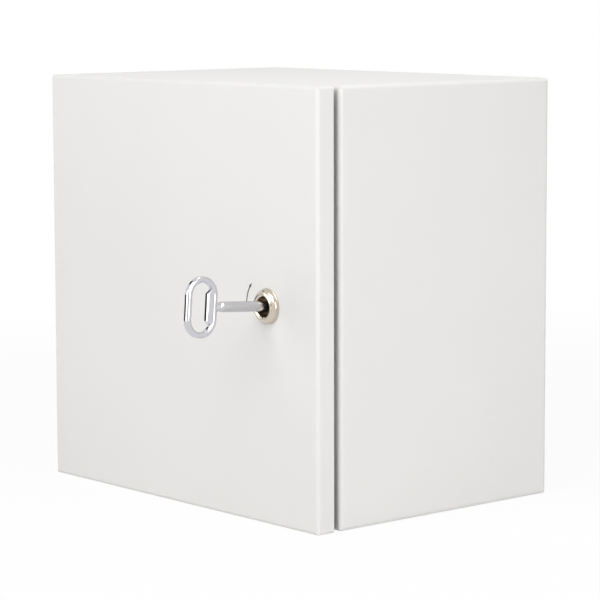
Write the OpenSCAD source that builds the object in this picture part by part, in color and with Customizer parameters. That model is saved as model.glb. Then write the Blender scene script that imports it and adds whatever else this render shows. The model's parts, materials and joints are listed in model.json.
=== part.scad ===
// Steel wall enclosure with a hinged door, a cam lock and its key.
// Origin: centre of the wall face. X to the right, Y back towards the wall, Z up.
// The body runs from y = 0 at the wall to y = -body_d; the door stands in front of it.

/* [Body] */
// Width across the side walls
body_w = 300; // [280:1:400]
// Height from base to roof
body_h = 300; // [280:1:400]
// Depth from the wall face to the front flange
body_d = 200; // [150:1:300]
// Thickness of the body sheet
body_t = 1.5; // [1.2:0.1:2]
// Outside radius of the four long folds
long_fold_r = 3; // [2.5:0.1:5]
// Outside radius of the folds round the front flange
front_fold_r = 3; // [2.5:0.1:5]
// Outside radius of the welded back edges
back_edge_r = 4.5; // [2.5:0.1:6]

/* [Front rim] */
// Width of the front flange, from the side wall to the clear opening
flange_w = 20; // [19:0.5:24]
// Height of the sealing lip in front of the flange
lip_h = 13; // [11:0.5:14]
// Inside radius of the lip's bend
lip_bend_r = 1.5; // [1:0.1:2]
// Corner radius of the clear opening
opening_r = 10; // [6:0.5:16]

/* [Wall holes] */
// Distance between the wall holes across the back
wall_pitch_x = 250; // [230:1:255]
// Distance between the wall holes up the back
wall_pitch_z = 250; // [230:1:255]
// Diameter of the wall holes
wall_hole_d = 8.5; // [6:0.1:10]

/* [Door] */
// Gap between the door's rear edge and the front flange
door_gap = 5; // [4:0.5:7]
// Depth of the door pan
door_depth = 15; // [14:0.5:17]
// Thickness of the door sheet
door_t = 1.5; // [1.2:0.1:2]
// Outside radius of the door's folds
door_fold_r = 2.5; // [2.3:0.1:4]
// Radius of the door's rear edges
door_rear_r = 1; // [0.5:0.1:1.2]
// Width of the foam seal
seal_w = 12; // [9:0.5:12]
// Space between the foam seal and the lip
seal_gap = 0.3; // [0.2:0.1:0.6]

/* [Hinges] */
// Distance from the middle of the door to the middle of each hinge
hinge_z = 95; // [80:1:98]
// Distance from the door's side to the pin axis
hinge_inset = 5.5; // [5.4:0.1:6]
// Distance from the door's face to the pin axis
hinge_setback = 10; // [9:0.5:11]
// Diameter of the hinge pin
pin_d = 4; // [3:0.5:4]
// Running clearance round the pin
pin_clearance = 0.05; // [0.02:0.01:0.1]
// Diameter of the knuckles
knuckle_d = 7; // [6:0.1:7.2]
// Length of the body's knuckle
body_knuckle_l = 28; // [20:1:34]
// Length of each of the door's two knuckles
door_knuckle_l = 13; // [8:1:14]
// Space between one knuckle and the next
knuckle_gap = 0.4; // [0.3:0.1:0.8]
// Thickness of the hinge leaves
leaf_t = 2; // [1.5:0.1:2]
// Length of the hinge leaves
leaf_l = 76; // [72:1:84]
// Reach of the body leaf's gooseneck to the right of the pin
gooseneck_x = 8; // [7.8:0.1:8.5]
// Width of the body leaf's foot
foot_w = 13.2; // [12.5:0.1:13.4]
// Width of the door leaf
door_leaf_w = 10.5; // [9:0.5:10.5]
// Distance between the two screws of a hinge leaf
hinge_screw_pitch = 64; // [60:1:68]

/* [Lock] */
// Distance from the door's right side to the lock axis
lock_inset = 51.5; // [50:0.5:60]
// Height of the lock axis above the middle of the door
lock_z = 0; // [-40:1:40]
// Diameter of the bezel
bezel_d = 24.5; // [23:0.1:28]
// Height of the bezel in front of the door
bezel_h = 4.9; // [3:0.1:7]
// Outside diameter of the bezel's front lip
bezel_lip_d = 17; // [16:0.1:19]
// Diameter of the lock barrel
barrel_d = 20; // [19:0.1:22]
// Width across the barrel's two flats
barrel_flats = 18; // [17:0.1:18.5]
// Diameter of the key recess
recess_d = 14; // [13:0.1:15]
// Depth of the recess from the door's face to the core's head
recess_depth = 8; // [6:0.5:10]
// Thickness of the core's head
core_head_t = 2.95; // [2:0.05:4]
// Diameter of the core's shank
core_shank_d = 9; // [8:0.1:11]
// Running clearance round the core
core_clearance = 0.05; // [0.02:0.01:0.1]
// Diameter of the driving post
post_d = 3.8; // [3:0.1:4]
// Distance across the two bits of the post
bit_span = 6.4; // [5:0.1:6.6]
// Thickness of a bit
bit_t = 1.8; // [1.5:0.1:2]
// Length of the bits
bit_l = 6; // [4:0.5:8]
// Thickness of the round nut
lock_nut_t = 5; // [4:0.5:7]
// Width of the lock nut across its flats
lock_nut_flats = 27; // [26:0.5:30]

/* [Cam] */
// Length of the cam from the lock axis to its tip
cam_l = 45; // [42:0.5:47]
// Width of the cam
cam_w = 16; // [14:0.5:20]
// Thickness of the cam
cam_t = 3; // [2:0.5:4]
// Space between the cam and the flange that it closes behind
cam_gap = 0.3; // [0.2:0.1:1]
// Width of the square drive
drive_square = 8; // [7:0.5:8.5]

/* [Key] */
// Diameter of the key's shaft
key_d = 7.1; // [7:0.1:8]
// Diameter of the bore in the key's end
key_bore_d = 5; // [4.8:0.1:5.2]
// Width of the slots in the key's end
key_slot_w = 2.6; // [2.4:0.1:2.8]
// Distance from the door's face to the end of the round shaft
key_shaft_l = 41.8; // [35:0.1:60]
// Length of the neck between the shaft and the bow
key_neck_l = 3.4; // [2.5:0.1:6]
// Diameter of the neck
key_neck_d = 5; // [4:0.1:6]
// Height of the bow
bow_h = 41.2; // [36:0.1:50]
// Width of the bow along the shaft
bow_w = 25.4; // [22:0.1:30]
// Width of the bow's ring
ring_w = 4; // [3:0.1:5]
// Thickness of the bow's ring
ring_t = 5; // [4:0.1:6]
// Width of the plate that joins the ring to the neck
web_w = 7.8; // [6:0.1:9]
// Thickness of that plate
web_t = 4; // [3:0.1:4.4]
// Upward lean of the key in its loose socket, in degrees
key_lean = 4; // [0:0.5:4.5]

/* [Mounting panel] */
// Width of the mounting panel
panel_w = 250; // [235:1:256]
// Height of the mounting panel
panel_h = 250; // [235:1:256]
// Thickness of the mounting panel
panel_t = 2; // [1.5:0.1:3]
// Length of the corner cuts that free the wall holes
panel_corner = 30; // [28:1:34]
// Depth of the panel's folded side edges
panel_fold = 8; // [5:0.5:9]
// Height of the collars that carry the panel
collar_h = 10; // [9.5:0.5:20]
// Distance between the panel studs across the back
stud_pitch_x = 180; // [150:1:190]
// Distance between the panel studs up the back
stud_pitch_z = 220; // [180:1:222]
// Thread diameter of the panel studs
stud_d = 8; // [6:1:8]

/* [Gland plate] */
// Width of the cable opening in the base
gland_w = 190; // [120:1:200]
// Depth of the cable opening in the base
gland_d = 100; // [60:1:100]
// Corner radius of the cable opening
gland_r = 8; // [4:0.5:12]
// Width of the seal round the cable opening
gland_seal_w = 12; // [11:0.5:14]
// Thickness of that seal
gland_seal_t = 2.5; // [2:0.1:4]
// Thickness of the gland plate
gland_plate_t = 2; // [1.5:0.1:3]
// Thread diameter of the gland plate's studs
gland_stud_d = 5; // [4:1:6]

/* [Earthing] */
// Thread diameter of the earth studs
earth_d = 6; // [5:1:8]
// Length of the earth studs
earth_l = 15; // [14:0.5:18]

/* [Hidden] */
$fn = 64;

// A little more than touching, so that a cut passes right through
cut_over = 1;
// Space between a screw and its hole
screw_clearance = 0.3;
// Space between a piece and a fold that it stands beside
seat_gap = 0.3;

paint = [0.89, 0.89, 0.88];
foam = [0.16, 0.16, 0.17];
zinc = [0.72, 0.73, 0.75];
chrome = [0.83, 0.83, 0.84];
brass = [0.78, 0.62, 0.30];

// Planes and half sizes that pieces share
body_front_y = -body_d;
flange_rear_y = body_front_y + body_t;
lip_front_y = body_front_y - lip_h;
door_rear_y = body_front_y - door_gap;
door_face_y = door_rear_y - door_depth;
door_skin_y = door_face_y + door_t;
opening_w = body_w - 2 * flange_w;
opening_h = body_h - 2 * flange_w;
floor_z = -body_h / 2 + body_t;

// ---------- shared shapes ----------

module rounded_rect(w, h, r) {
    square([w - 2 * r, h], center = true);
    square([w, h - 2 * r], center = true);
    for (x = [-1, 1], y = [-1, 1])
        translate([x * (w / 2 - r), y * (h / 2 - r)]) circle(r);
}

// Outline across one side and the depth, with its own radius at the front and at the back
module depth_profile(across, depth, front_r, back_r) {
    translate([-across / 2, front_r - depth]) square([across, depth - front_r - back_r]);
    translate([front_r - across / 2, -depth]) square([across - 2 * front_r, front_r + back_r]);
    translate([back_r - across / 2, -back_r - front_r]) square([across - 2 * back_r, front_r + back_r]);
    for (side = [-1, 1]) {
        translate([side * (across / 2 - front_r), front_r - depth]) circle(front_r);
        translate([side * (across / 2 - back_r), -back_r]) circle(back_r);
    }
}

// Box from y = 0 forwards to y = -d, folded on all its edges
module folded_box(w, h, d, long_r, front_r, back_r) {
    intersection() {
        rotate([90, 0, 0]) linear_extrude(d) rounded_rect(w, h, long_r);
        linear_extrude(h, center = true) depth_profile(w, d, front_r, back_r);
        rotate([0, 90, 0]) linear_extrude(w, center = true) depth_profile(h, d, front_r, back_r);
    }
}

// Carries a 2D section round a rounded rectangle in the XZ plane.
// The section's x points outwards from the path and its y points forwards.
module rim(w, h, r) {
    rotate([90, 0, 0]) for (side = [0:3]) {
        across = side % 2 == 0 ? w : h;
        along = side % 2 == 0 ? h - 2 * r : w - 2 * r;
        rotate(90 * side) {
            if (along > 0)
                translate([across / 2, along / 2, 0])
                    rotate([90, 0, 0]) linear_extrude(along) children();
            translate([across / 2 - r, along / 2, 0])
                rotate_extrude(angle = 90) translate([r, 0]) children();
        }
    }
}

// Turns a solid that stands on z = 0 so that it points forwards from a vertical plane
module forwards() {
    rotate([90, 0, 0]) children();
}

module hex_nut(thread, flats, height) {
    difference() {
        cylinder(h = height, d = flats / cos(30), $fn = 6);
        translate([0, 0, -cut_over]) cylinder(h = height + 2 * cut_over, d = thread + 0.1);
    }
}

// Nut with a round pressing flange, standing on z = 0
module flange_nut(thread, flats, height) {
    flange_t = height / 4;
    difference() {
        union() {
            cylinder(h = flange_t, d = 2 * thread + 1);
            cylinder(h = height, d = flats / cos(30), $fn = 6);
        }
        translate([0, 0, -cut_over]) cylinder(h = height + 2 * cut_over, d = thread + 0.1);
    }
}

// Welded stud with a chamfered end, standing on z = 0
module stud(thread, length) {
    chamfer = thread / 8;
    cylinder(h = length - chamfer, d = thread);
    translate([0, 0, length - chamfer]) cylinder(h = chamfer, d1 = thread, d2 = thread - 2 * chamfer);
}

// ---------- body ----------

// Section through the lip: flat flange, bend, and hemmed edge
module lip_section() {
    outer_r = lip_bend_r + body_t;
    translate([0, lip_bend_r]) square([body_t, lip_h - lip_bend_r - body_t / 2]);
    translate([body_t / 2, lip_h - body_t / 2]) circle(body_t / 2);
    intersection() {
        translate([outer_r, lip_bend_r]) difference() {
            circle(outer_r);
            circle(lip_bend_r);
        }
        translate([0, -body_t]) square([outer_r, outer_r]);
    }
    translate([outer_r - lip_bend_r / 2, -body_t]) square([lip_bend_r, body_t]);
}

module at_wall_holes() {
    for (x = [-1, 1], z = [-1, 1])
        translate([x * wall_pitch_x / 2, 0, z * wall_pitch_z / 2]) children();
}

module body_shell() color(paint) {
    bend = lip_bend_r + body_t;
    difference() {
        folded_box(body_w, body_h, body_d, long_fold_r, front_fold_r, back_edge_r);
        translate([0, -body_t, 0])
            folded_box(body_w - 2 * body_t, body_h - 2 * body_t, body_d - 2 * body_t,
                long_fold_r - body_t, front_fold_r - body_t, back_edge_r - body_t);
        translate([0, flange_rear_y + cut_over, 0]) forwards()
            linear_extrude(body_t + 2 * cut_over)
                rounded_rect(opening_w + 2 * bend, opening_h + 2 * bend, opening_r + bend);
        at_wall_holes()
            translate([0, cut_over, 0]) forwards() cylinder(h = body_t + 2 * cut_over, d = wall_hole_d);
        at_hinges() at_hinge_screws(hinge_foot_screw_x)
            translate([0, body_front_y + body_t + cut_over, 0])
                forwards() cylinder(h = body_t + 2 * cut_over, d = hinge_screw_d + screw_clearance);
        translate([0, -body_d / 2, floor_z - body_t - cut_over])
            linear_extrude(body_t + 2 * cut_over) rounded_rect(gland_w, gland_d, gland_r);
    }
    translate([0, body_front_y, 0]) rim(opening_w, opening_h, opening_r) lip_section();
}

// ---------- door ----------

module lock_hole_outline(clearance) {
    intersection() {
        circle(d = barrel_d + 2 * clearance);
        square([barrel_d + 2 * clearance, barrel_flats + 2 * clearance], center = true);
    }
}

module door_panel() color(paint) difference() {
    translate([0, door_rear_y, 0])
        folded_box(body_w, body_h, door_depth, door_fold_r, door_fold_r, door_rear_r);
    translate([0, door_rear_y + door_depth, 0])
        folded_box(body_w - 2 * door_t, body_h - 2 * door_t, 2 * door_depth - door_t,
            door_fold_r - door_t, door_fold_r - door_t, door_fold_r - door_t);
    translate([lock_x, door_skin_y + cut_over, lock_z]) forwards()
        linear_extrude(door_t + 2 * cut_over) lock_hole_outline(screw_clearance);
}

// Poured foam bead, flat on the door and domed towards the lip
module door_seal() color(foam) {
    bead_h = lip_front_y - door_skin_y - seal_gap;
    bead_r = (seal_w * seal_w / 4 + bead_h * bead_h) / (2 * bead_h);
    translate([0, door_skin_y, 0])
        rim(opening_w + body_t, opening_h + body_t, opening_r + body_t / 2)
            intersection() {
                translate([0, bead_r - bead_h]) circle(bead_r);
                translate([-seal_w / 2, -bead_h]) square([seal_w, bead_h]);
            }
}

// ---------- hinges ----------

hinge_x = -body_w / 2 + hinge_inset;
hinge_y = door_face_y + hinge_setback;
hinge_screw_d = 4;
knuckle_r = knuckle_d / 2;
// Planes of the two leaves, measured from the pin axis
foot_y = body_front_y - hinge_y;
skin_y = door_skin_y - hinge_y;
foot_x = -opening_w / 2 - body_t - lip_bend_r - seat_gap - hinge_x - foot_w;
hinge_foot_screw_x = 2.8;
door_leaf_x = door_fold_r - hinge_inset;
door_stud_x = 2.2;
door_stud_l = 6.5;
screw_nut_t = 3.2;
screw_nut_flats = 7;

module at_hinges() {
    for (side = [-1, 1]) translate([hinge_x, 0, side * hinge_z]) children();
}

module at_hinge_screws(x) {
    for (side = [-1, 1]) translate([x, 0, side * hinge_screw_pitch / 2]) children();
}

module leaf_block(x0, x1, y0, y1, length) {
    translate([x0, y0, -length / 2]) cube([x1 - x0, y1 - y0, length]);
}

// The foot lies on the front flange; its gooseneck passes round the door's edge to the pin
module hinge_body_leaves() color(zinc) at_hinges() translate([0, hinge_y, 0]) difference() {
    bend_r = leaf_t;
    elbow = [gooseneck_x + leaf_t - bend_r, -knuckle_r + bend_r];
    union() {
        leaf_block(foot_x, foot_x + foot_w, foot_y - leaf_t, foot_y, leaf_l);
        leaf_block(gooseneck_x, gooseneck_x + leaf_t, elbow[1], foot_y, body_knuckle_l);
        leaf_block(0, elbow[0], -knuckle_r, leaf_t - knuckle_r, body_knuckle_l);
        translate([elbow[0], elbow[1], 0]) intersection() {
            cylinder(h = body_knuckle_l, r = bend_r, center = true);
            leaf_block(0, bend_r, -bend_r, 0, body_knuckle_l);
        }
        cylinder(h = body_knuckle_l, r = knuckle_r, center = true);
    }
    cylinder(h = body_knuckle_l + 2 * cut_over, d = pin_d, center = true);
    at_hinge_screws(hinge_foot_screw_x) translate([0, foot_y, 0]) forwards() {
        translate([0, 0, -cut_over]) cylinder(h = leaf_t + 2 * cut_over, d = hinge_screw_d + screw_clearance);
        translate([0, 0, leaf_t - hinge_screw_d / 2])
            cylinder(h = hinge_screw_d / 2 + 0.01, d1 = hinge_screw_d, d2 = 2 * hinge_screw_d);
    }
}

// The plate lies on the door's inner face and ends in two knuckles
module hinge_door_leaves() color(zinc) at_hinges() translate([0, hinge_y, 0]) {
    knuckle_mid = (body_knuckle_l + door_knuckle_l) / 2 + knuckle_gap;
    difference() {
        union() {
            leaf_block(door_leaf_x, door_leaf_x + door_leaf_w, skin_y, skin_y + leaf_t, leaf_l);
            for (side = [-1, 1]) translate([0, 0, side * knuckle_mid]) {
                leaf_block(door_leaf_x, door_leaf_x + leaf_t, skin_y, 0, door_knuckle_l);
                cylinder(h = door_knuckle_l, r = knuckle_r, center = true);
            }
        }
        cylinder(h = leaf_l + 2 * cut_over, d = pin_d + 2 * pin_clearance, center = true);
        at_hinge_screws(door_stud_x) translate([0, skin_y + leaf_t + cut_over, 0])
            forwards() cylinder(h = leaf_t + 2 * cut_over, d = hinge_screw_d + screw_clearance);
    }
}

// Pressed into the body's knuckle, with a head above the door's upper knuckle
module hinge_pins() color(zinc) at_hinges() translate([0, hinge_y, 0]) {
    head_h = 1;
    shank_l = body_knuckle_l + 2 * (door_knuckle_l + knuckle_gap);
    cylinder(h = shank_l, d = pin_d, center = true);
    translate([0, 0, shank_l / 2 + knuckle_gap]) cylinder(h = head_h, d = knuckle_d - 1);
    translate([0, 0, shank_l / 2 - 0.5]) cylinder(h = 0.5 + knuckle_gap, d = pin_d);
}

// Countersunk screws through the foot and the front flange
module hinge_screws() color(zinc) at_hinges() at_hinge_screws(hinge_foot_screw_x)
    translate([0, body_front_y - leaf_t, 0]) rotate([-90, 0, 0]) difference() {
        union() {
            cylinder(h = hinge_screw_d / 2, d1 = 2 * hinge_screw_d - 0.2, d2 = hinge_screw_d);
            cylinder(h = leaf_t + body_t + screw_nut_t + 1, d = hinge_screw_d);
        }
        translate([0, 0, -cut_over]) cylinder(h = cut_over + 1.2, d = 2.5 / cos(30), $fn = 6);
    }

module hinge_screw_nuts() color(zinc) at_hinges() at_hinge_screws(hinge_foot_screw_x)
    translate([0, flange_rear_y, 0]) rotate([-90, 0, 0])
        hex_nut(hinge_screw_d, screw_nut_flats, screw_nut_t);

module hinge_door_studs() color(zinc) at_hinges() at_hinge_screws(door_stud_x)
    translate([0, door_skin_y, 0]) rotate([-90, 0, 0]) stud(hinge_screw_d, door_stud_l);

module hinge_door_nuts() color(zinc) at_hinges() at_hinge_screws(door_stud_x)
    translate([0, door_skin_y + leaf_t, 0]) rotate([-90, 0, 0])
        hex_nut(hinge_screw_d, screw_nut_flats, screw_nut_t);

// ---------- lock ----------

lock_x = body_w / 2 - lock_inset;
// Depths behind the door's face
cam_front = -(flange_rear_y + cam_gap - door_face_y);
cam_rear = cam_front - cam_t;
barrel_rear = cam_front + 0.3;
shoulder = -recess_depth - core_head_t - 0.05;

module at_lock() {
    translate([lock_x, door_face_y, lock_z]) forwards() children();
}

// Turned barrel with a domed bezel; the back of the bezel is hollowed for its seal
module lock_barrel() color(chrome) at_lock() {
    bezel_r = bezel_d / 2;
    lip_r = bezel_lip_d / 2;
    base_t = 0.9;
    crown = [for (a = [0:15:75])
        [lip_r + (bezel_r - 0.6 - lip_r) * cos(a), base_t + (bezel_h - 0.3 - base_t) * sin(a)]];
    difference() {
        union() {
            rotate_extrude() polygon(concat(
                [[0, 0], [bezel_r, 0], [bezel_r, base_t - 0.3], [bezel_r - 0.3, base_t]],
                crown,
                [[lip_r, bezel_h - 0.25], [lip_r - 0.3, bezel_h], [0, bezel_h]]));
            translate([0, 0, barrel_rear]) linear_extrude(-barrel_rear) lock_hole_outline(0);
        }
        translate([0, 0, shoulder]) cylinder(h = bezel_h - shoulder + cut_over, d = recess_d);
        translate([0, 0, bezel_h - 0.8]) cylinder(h = 0.8 + 0.01, d1 = recess_d, d2 = recess_d + 1.6);
        translate([0, 0, barrel_rear - cut_over])
            cylinder(h = shoulder - barrel_rear + 2 * cut_over, d = core_shank_d + 2 * core_clearance);
        difference() {
            cylinder(h = lock_seal_t, d = lock_seal_d);
            cylinder(h = lock_seal_t, d = barrel_d);
        }
    }
}

lock_seal_t = 0.6;
lock_seal_d = 23;
// Space round the seal in its groove
seal_play = 0.1;

module lock_seal() color(foam) at_lock() difference() {
    cylinder(h = lock_seal_t, d = lock_seal_d - 2 * seal_play);
    translate([0, 0, -cut_over])
        cylinder(h = lock_seal_t + 2 * cut_over, d = barrel_d + 2 * seal_play);
}

module lock_nut() color(zinc) at_lock() translate([0, 0, -door_t - lock_nut_t]) difference() {
    intersection() {
        cylinder(h = lock_nut_t, d = lock_nut_flats / cos(30), $fn = 6);
        cylinder(h = lock_nut_t, d1 = lock_nut_flats + 0.5, d2 = lock_nut_flats + 2 * lock_nut_t);
    }
    translate([0, 0, -cut_over]) cylinder(h = lock_nut_t + 2 * cut_over, d = barrel_d + 0.1);
}

// Turning core: round head with a double-bit post, shank, and square drive
module lock_core() color(zinc) at_lock() {
    square_l = cam_t - 0.2;
    difference() {
        union() {
            translate([0, 0, -recess_depth - core_head_t])
                cylinder(h = core_head_t, d = recess_d - 2 * core_clearance);
            translate([0, 0, cam_front])
                cylinder(h = -recess_depth - core_head_t - cam_front, d = core_shank_d);
            translate([0, 0, cam_front - square_l])
                linear_extrude(square_l) square(drive_square - 0.2, center = true);
        }
        translate([0, 0, cam_front - square_l - cut_over])
            cylinder(h = cam_screw_l - 2 + cut_over, d = cam_screw_d);
    }
    translate([0, 0, -recess_depth]) cylinder(h = bit_l + 1, d = post_d);
    translate([0, 0, -recess_depth]) linear_extrude(bit_l) square([bit_t, bit_span], center = true);
}

cam_screw_d = 5;
cam_screw_l = 10;
cam_washer_t = 1.2;

// Flat tongue that stands up when the door is free and points right when it is locked
module lock_cam() color(zinc) at_lock() translate([0, 0, cam_rear]) linear_extrude(cam_t) difference() {
    union() {
        circle(d = cam_w + 3);
        translate([-cam_w / 2, 0]) square([cam_w, cam_l - cam_w / 2]);
        translate([0, cam_l - cam_w / 2]) circle(d = cam_w);
    }
    square(drive_square, center = true);
}

module cam_washer() color(zinc) at_lock() translate([0, 0, cam_rear - cam_washer_t]) difference() {
    cylinder(h = cam_washer_t, d = cam_w - 1);
    translate([0, 0, -cut_over]) cylinder(h = cam_washer_t + 2 * cut_over, d = cam_screw_d + screw_clearance);
}

module cam_screw() color(zinc) at_lock() translate([0, 0, cam_rear - cam_washer_t]) {
    head_h = 3.5;
    translate([0, 0, -head_h]) cylinder(h = head_h, d = 8 / cos(30), $fn = 6);
    cylinder(h = cam_screw_l - 2, d = cam_screw_d);
}

// ---------- key ----------

key_pivot = -recess_depth / 2;
key_tip = -recess_depth + 0.8;

// Section of the bow's ring: flat inside and outside, rounded at its four edges
module ring_section() {
    translate([ring_w / 2 - ring_w, 0]) rounded_rect(ring_w, ring_t, 1.3);
}

module key() color(chrome) at_lock() translate([0, 0, key_pivot]) rotate([-key_lean, 0, 0])
    translate([0, 0, -key_pivot]) {
        shaft_r = key_d / 2;
        neck_end = key_shaft_l + key_neck_l;
        chamfer = shaft_r - key_neck_d / 2;
        difference() {
            union() {
                translate([0, 0, key_tip]) cylinder(h = key_shaft_l - chamfer - key_tip, d = key_d);
                translate([0, 0, key_shaft_l - chamfer])
                    cylinder(h = chamfer, d1 = key_d, d2 = key_neck_d);
                translate([0, 0, key_shaft_l - chamfer])
                    cylinder(h = key_neck_l + chamfer + 1, d = key_neck_d);
            }
            translate([0, 0, key_tip - cut_over])
                cylinder(h = bit_l + 3 + cut_over, d = key_bore_d);
            translate([0, 0, key_tip - cut_over])
                linear_extrude(bit_l + cut_over) square([key_slot_w, key_d + cut_over], center = true);
        }
        translate([0, 0, neck_end]) rotate([0, -90, 0]) key_bow();
    }

// The bow lies in the XY plane here, starting at x = 0 with the neck behind it
module key_bow() {
    r = bow_w / 2;
    translate([r, 0, 0]) rotate([-90, 0, 0]) rim(bow_w, bow_h, r) ring_section();
    inner_h = bow_h / 2 - r + 1.9;
    linear_extrude(web_t, center = true)
        polygon([
            [0.4, -bow_h / 2 + r], [ring_w - 0.2, -bow_h / 2 + r - 5],
            [web_w, -inner_h], [web_w, inner_h],
            [ring_w - 0.2, bow_h / 2 - r + 5], [0.4, bow_h / 2 - r]
        ]);
}

// ---------- mounting panel ----------

panel_rear_y = -body_t - collar_h;
panel_front_y = panel_rear_y - panel_t;
panel_washer_t = 1.6;
panel_nut_t = stud_d * 0.8;

module at_panel_studs() {
    for (x = [-1, 1], z = [-1, 1])
        translate([x * stud_pitch_x / 2, 0, z * stud_pitch_z / 2]) children();
}

// Plate with folded side edges and cut corners
module mounting_panel() color(zinc) difference() {
    bend_r = 1.5 * panel_t;
    translate([0, panel_front_y, 0]) linear_extrude(panel_h, center = true) difference() {
        mirror([0, 1]) depth_profile(panel_w, panel_t + panel_fold + bend_r, 0.01, bend_r);
        translate([0, panel_t])
            mirror([0, 1])
                depth_profile(panel_w - 2 * panel_t, panel_t + panel_fold + bend_r, 0.01, bend_r - panel_t);
        translate([-panel_w, panel_t + panel_fold]) square([2 * panel_w, 3 * bend_r]);
    }
    for (x = [-1, 1], z = [-1, 1])
        translate([x * panel_w / 2, panel_front_y + panel_t, z * panel_h / 2])
            rotate([0, 45, 0])
                cube([panel_corner * sqrt(2), 4 * panel_fold, panel_corner * sqrt(2)], center = true);
    at_panel_studs() translate([0, panel_rear_y + cut_over, 0])
        forwards() cylinder(h = panel_t + 2 * cut_over, d = stud_d + 1);
}

// Threaded studs welded to the back, each with a collar that the panel sits on
module panel_studs() color(zinc) at_panel_studs() translate([0, -body_t, 0]) forwards() {
    cylinder(h = collar_h, d = 2 * stud_d);
    stud(stud_d, collar_h + panel_t + panel_washer_t + panel_nut_t + 4);
}

module panel_washers() color(zinc) at_panel_studs() translate([0, panel_front_y, 0]) forwards()
    difference() {
        cylinder(h = panel_washer_t, d = 2 * stud_d);
        translate([0, 0, -cut_over]) cylinder(h = panel_washer_t + 2 * cut_over, d = stud_d + 0.4);
    }

module panel_nuts() color(zinc) at_panel_studs()
    translate([0, panel_front_y - panel_washer_t, 0]) forwards()
        hex_nut(stud_d, 1.6 * stud_d, panel_nut_t);

// ---------- gland plate ----------

gland_nut_t = gland_stud_d;

module at_gland_studs() {
    for (x = [-1, 0, 1], y = [-1, 1])
        translate([x * (gland_w + gland_seal_w) / 2, y * (gland_d + gland_seal_w) / 2 - body_d / 2, floor_z])
            children();
}

module gland_outline(border) {
    rounded_rect(gland_w + 2 * border, gland_d + 2 * border, gland_r);
}

module gland_stud_holes(height) {
    at_gland_studs() translate([0, 0, -cut_over])
        cylinder(h = height + 2 * cut_over, d = gland_stud_d + 2 * screw_clearance);
}

module gland_seal() color(foam) difference() {
    translate([0, -body_d / 2, floor_z]) linear_extrude(gland_seal_t) difference() {
        gland_outline(gland_seal_w);
        gland_outline(0);
    }
    gland_stud_holes(gland_seal_t);
}

module gland_plate() color(paint) difference() {
    translate([0, -body_d / 2, floor_z + gland_seal_t])
        linear_extrude(gland_plate_t) gland_outline(gland_seal_w + 2);
    gland_stud_holes(gland_seal_t + gland_plate_t);
}

module gland_studs() color(zinc) at_gland_studs()
    stud(gland_stud_d, gland_seal_t + gland_plate_t + gland_nut_t + 2);

module gland_nuts() color(zinc) at_gland_studs() translate([0, 0, gland_seal_t + gland_plate_t])
    flange_nut(gland_stud_d, 1.6 * gland_stud_d, gland_nut_t);

// ---------- earthing ----------

earth_nut_t = 0.8 * earth_d;
// Contact collar at the foot of each earth stud
earth_collar_t = 2;

module at_body_earth() {
    translate([-body_w / 2 + 22, body_front_y + 28, floor_z]) children();
}

module at_door_earth() {
    translate([-opening_w / 2 + 18, door_skin_y, -opening_h / 2 + 35]) rotate([-90, 0, 0]) children();
}

module earth_stud() {
    cylinder(h = earth_collar_t, d = 2 * earth_d);
    stud(earth_d, earth_l);
}

module earth_nut() {
    translate([0, 0, earth_collar_t]) flange_nut(earth_d, 1.6 * earth_d, earth_nut_t);
}

module body_earth_stud() color(brass) at_body_earth() earth_stud();

module body_earth_nut() color(zinc) at_body_earth() earth_nut();

module door_earth_stud() color(brass) at_door_earth() earth_stud();

module door_earth_nut() color(zinc) at_door_earth() earth_nut();

body_shell();
door_panel();
door_seal();
hinge_body_leaves();
hinge_door_leaves();
hinge_pins();
hinge_screws();
hinge_screw_nuts();
hinge_door_studs();
hinge_door_nuts();
lock_barrel();
lock_seal();
lock_nut();
lock_core();
lock_cam();
cam_washer();
cam_screw();
key();
mounting_panel();
panel_studs();
panel_washers();
panel_nuts();
gland_plate();
gland_seal();
gland_studs();
gland_nuts();
body_earth_stud();
body_earth_nut();
door_earth_stud();
door_earth_nut();
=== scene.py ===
"""Looks of a steel wall enclosure: finishes for its sheet metal and modelled pieces for its lock, key and fasteners.

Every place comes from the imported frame. Metres, X to the right, Y back into the wall, Z up.
"""
from __future__ import annotations

import json
import logging
import math
from dataclasses import dataclass, field
from enum import Enum
from typing import Callable, Iterable, Mapping, Sequence, Union

import bmesh
import bpy
from mathutils import Matrix, Vector, noise


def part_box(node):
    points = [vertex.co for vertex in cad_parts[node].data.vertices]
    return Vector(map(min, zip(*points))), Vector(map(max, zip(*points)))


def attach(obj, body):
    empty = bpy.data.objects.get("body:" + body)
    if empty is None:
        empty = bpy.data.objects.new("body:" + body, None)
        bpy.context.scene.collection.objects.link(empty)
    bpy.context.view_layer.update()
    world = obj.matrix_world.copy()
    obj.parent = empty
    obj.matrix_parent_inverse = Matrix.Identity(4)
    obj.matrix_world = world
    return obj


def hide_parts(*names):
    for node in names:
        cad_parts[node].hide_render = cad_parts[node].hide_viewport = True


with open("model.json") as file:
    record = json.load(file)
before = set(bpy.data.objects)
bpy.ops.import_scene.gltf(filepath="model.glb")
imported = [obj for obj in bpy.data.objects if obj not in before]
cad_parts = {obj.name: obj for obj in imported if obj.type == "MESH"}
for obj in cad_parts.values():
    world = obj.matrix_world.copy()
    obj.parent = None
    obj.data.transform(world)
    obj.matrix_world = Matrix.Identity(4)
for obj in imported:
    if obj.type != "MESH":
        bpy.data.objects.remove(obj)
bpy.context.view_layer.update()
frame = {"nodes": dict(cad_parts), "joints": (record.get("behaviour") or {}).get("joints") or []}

log = logging.getLogger("enclosure")

MM = 0.001
Colour = tuple[float, float, float]
Setting = Union["Wire", float, int, str, bool, Sequence[float], bpy.types.ID]


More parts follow.
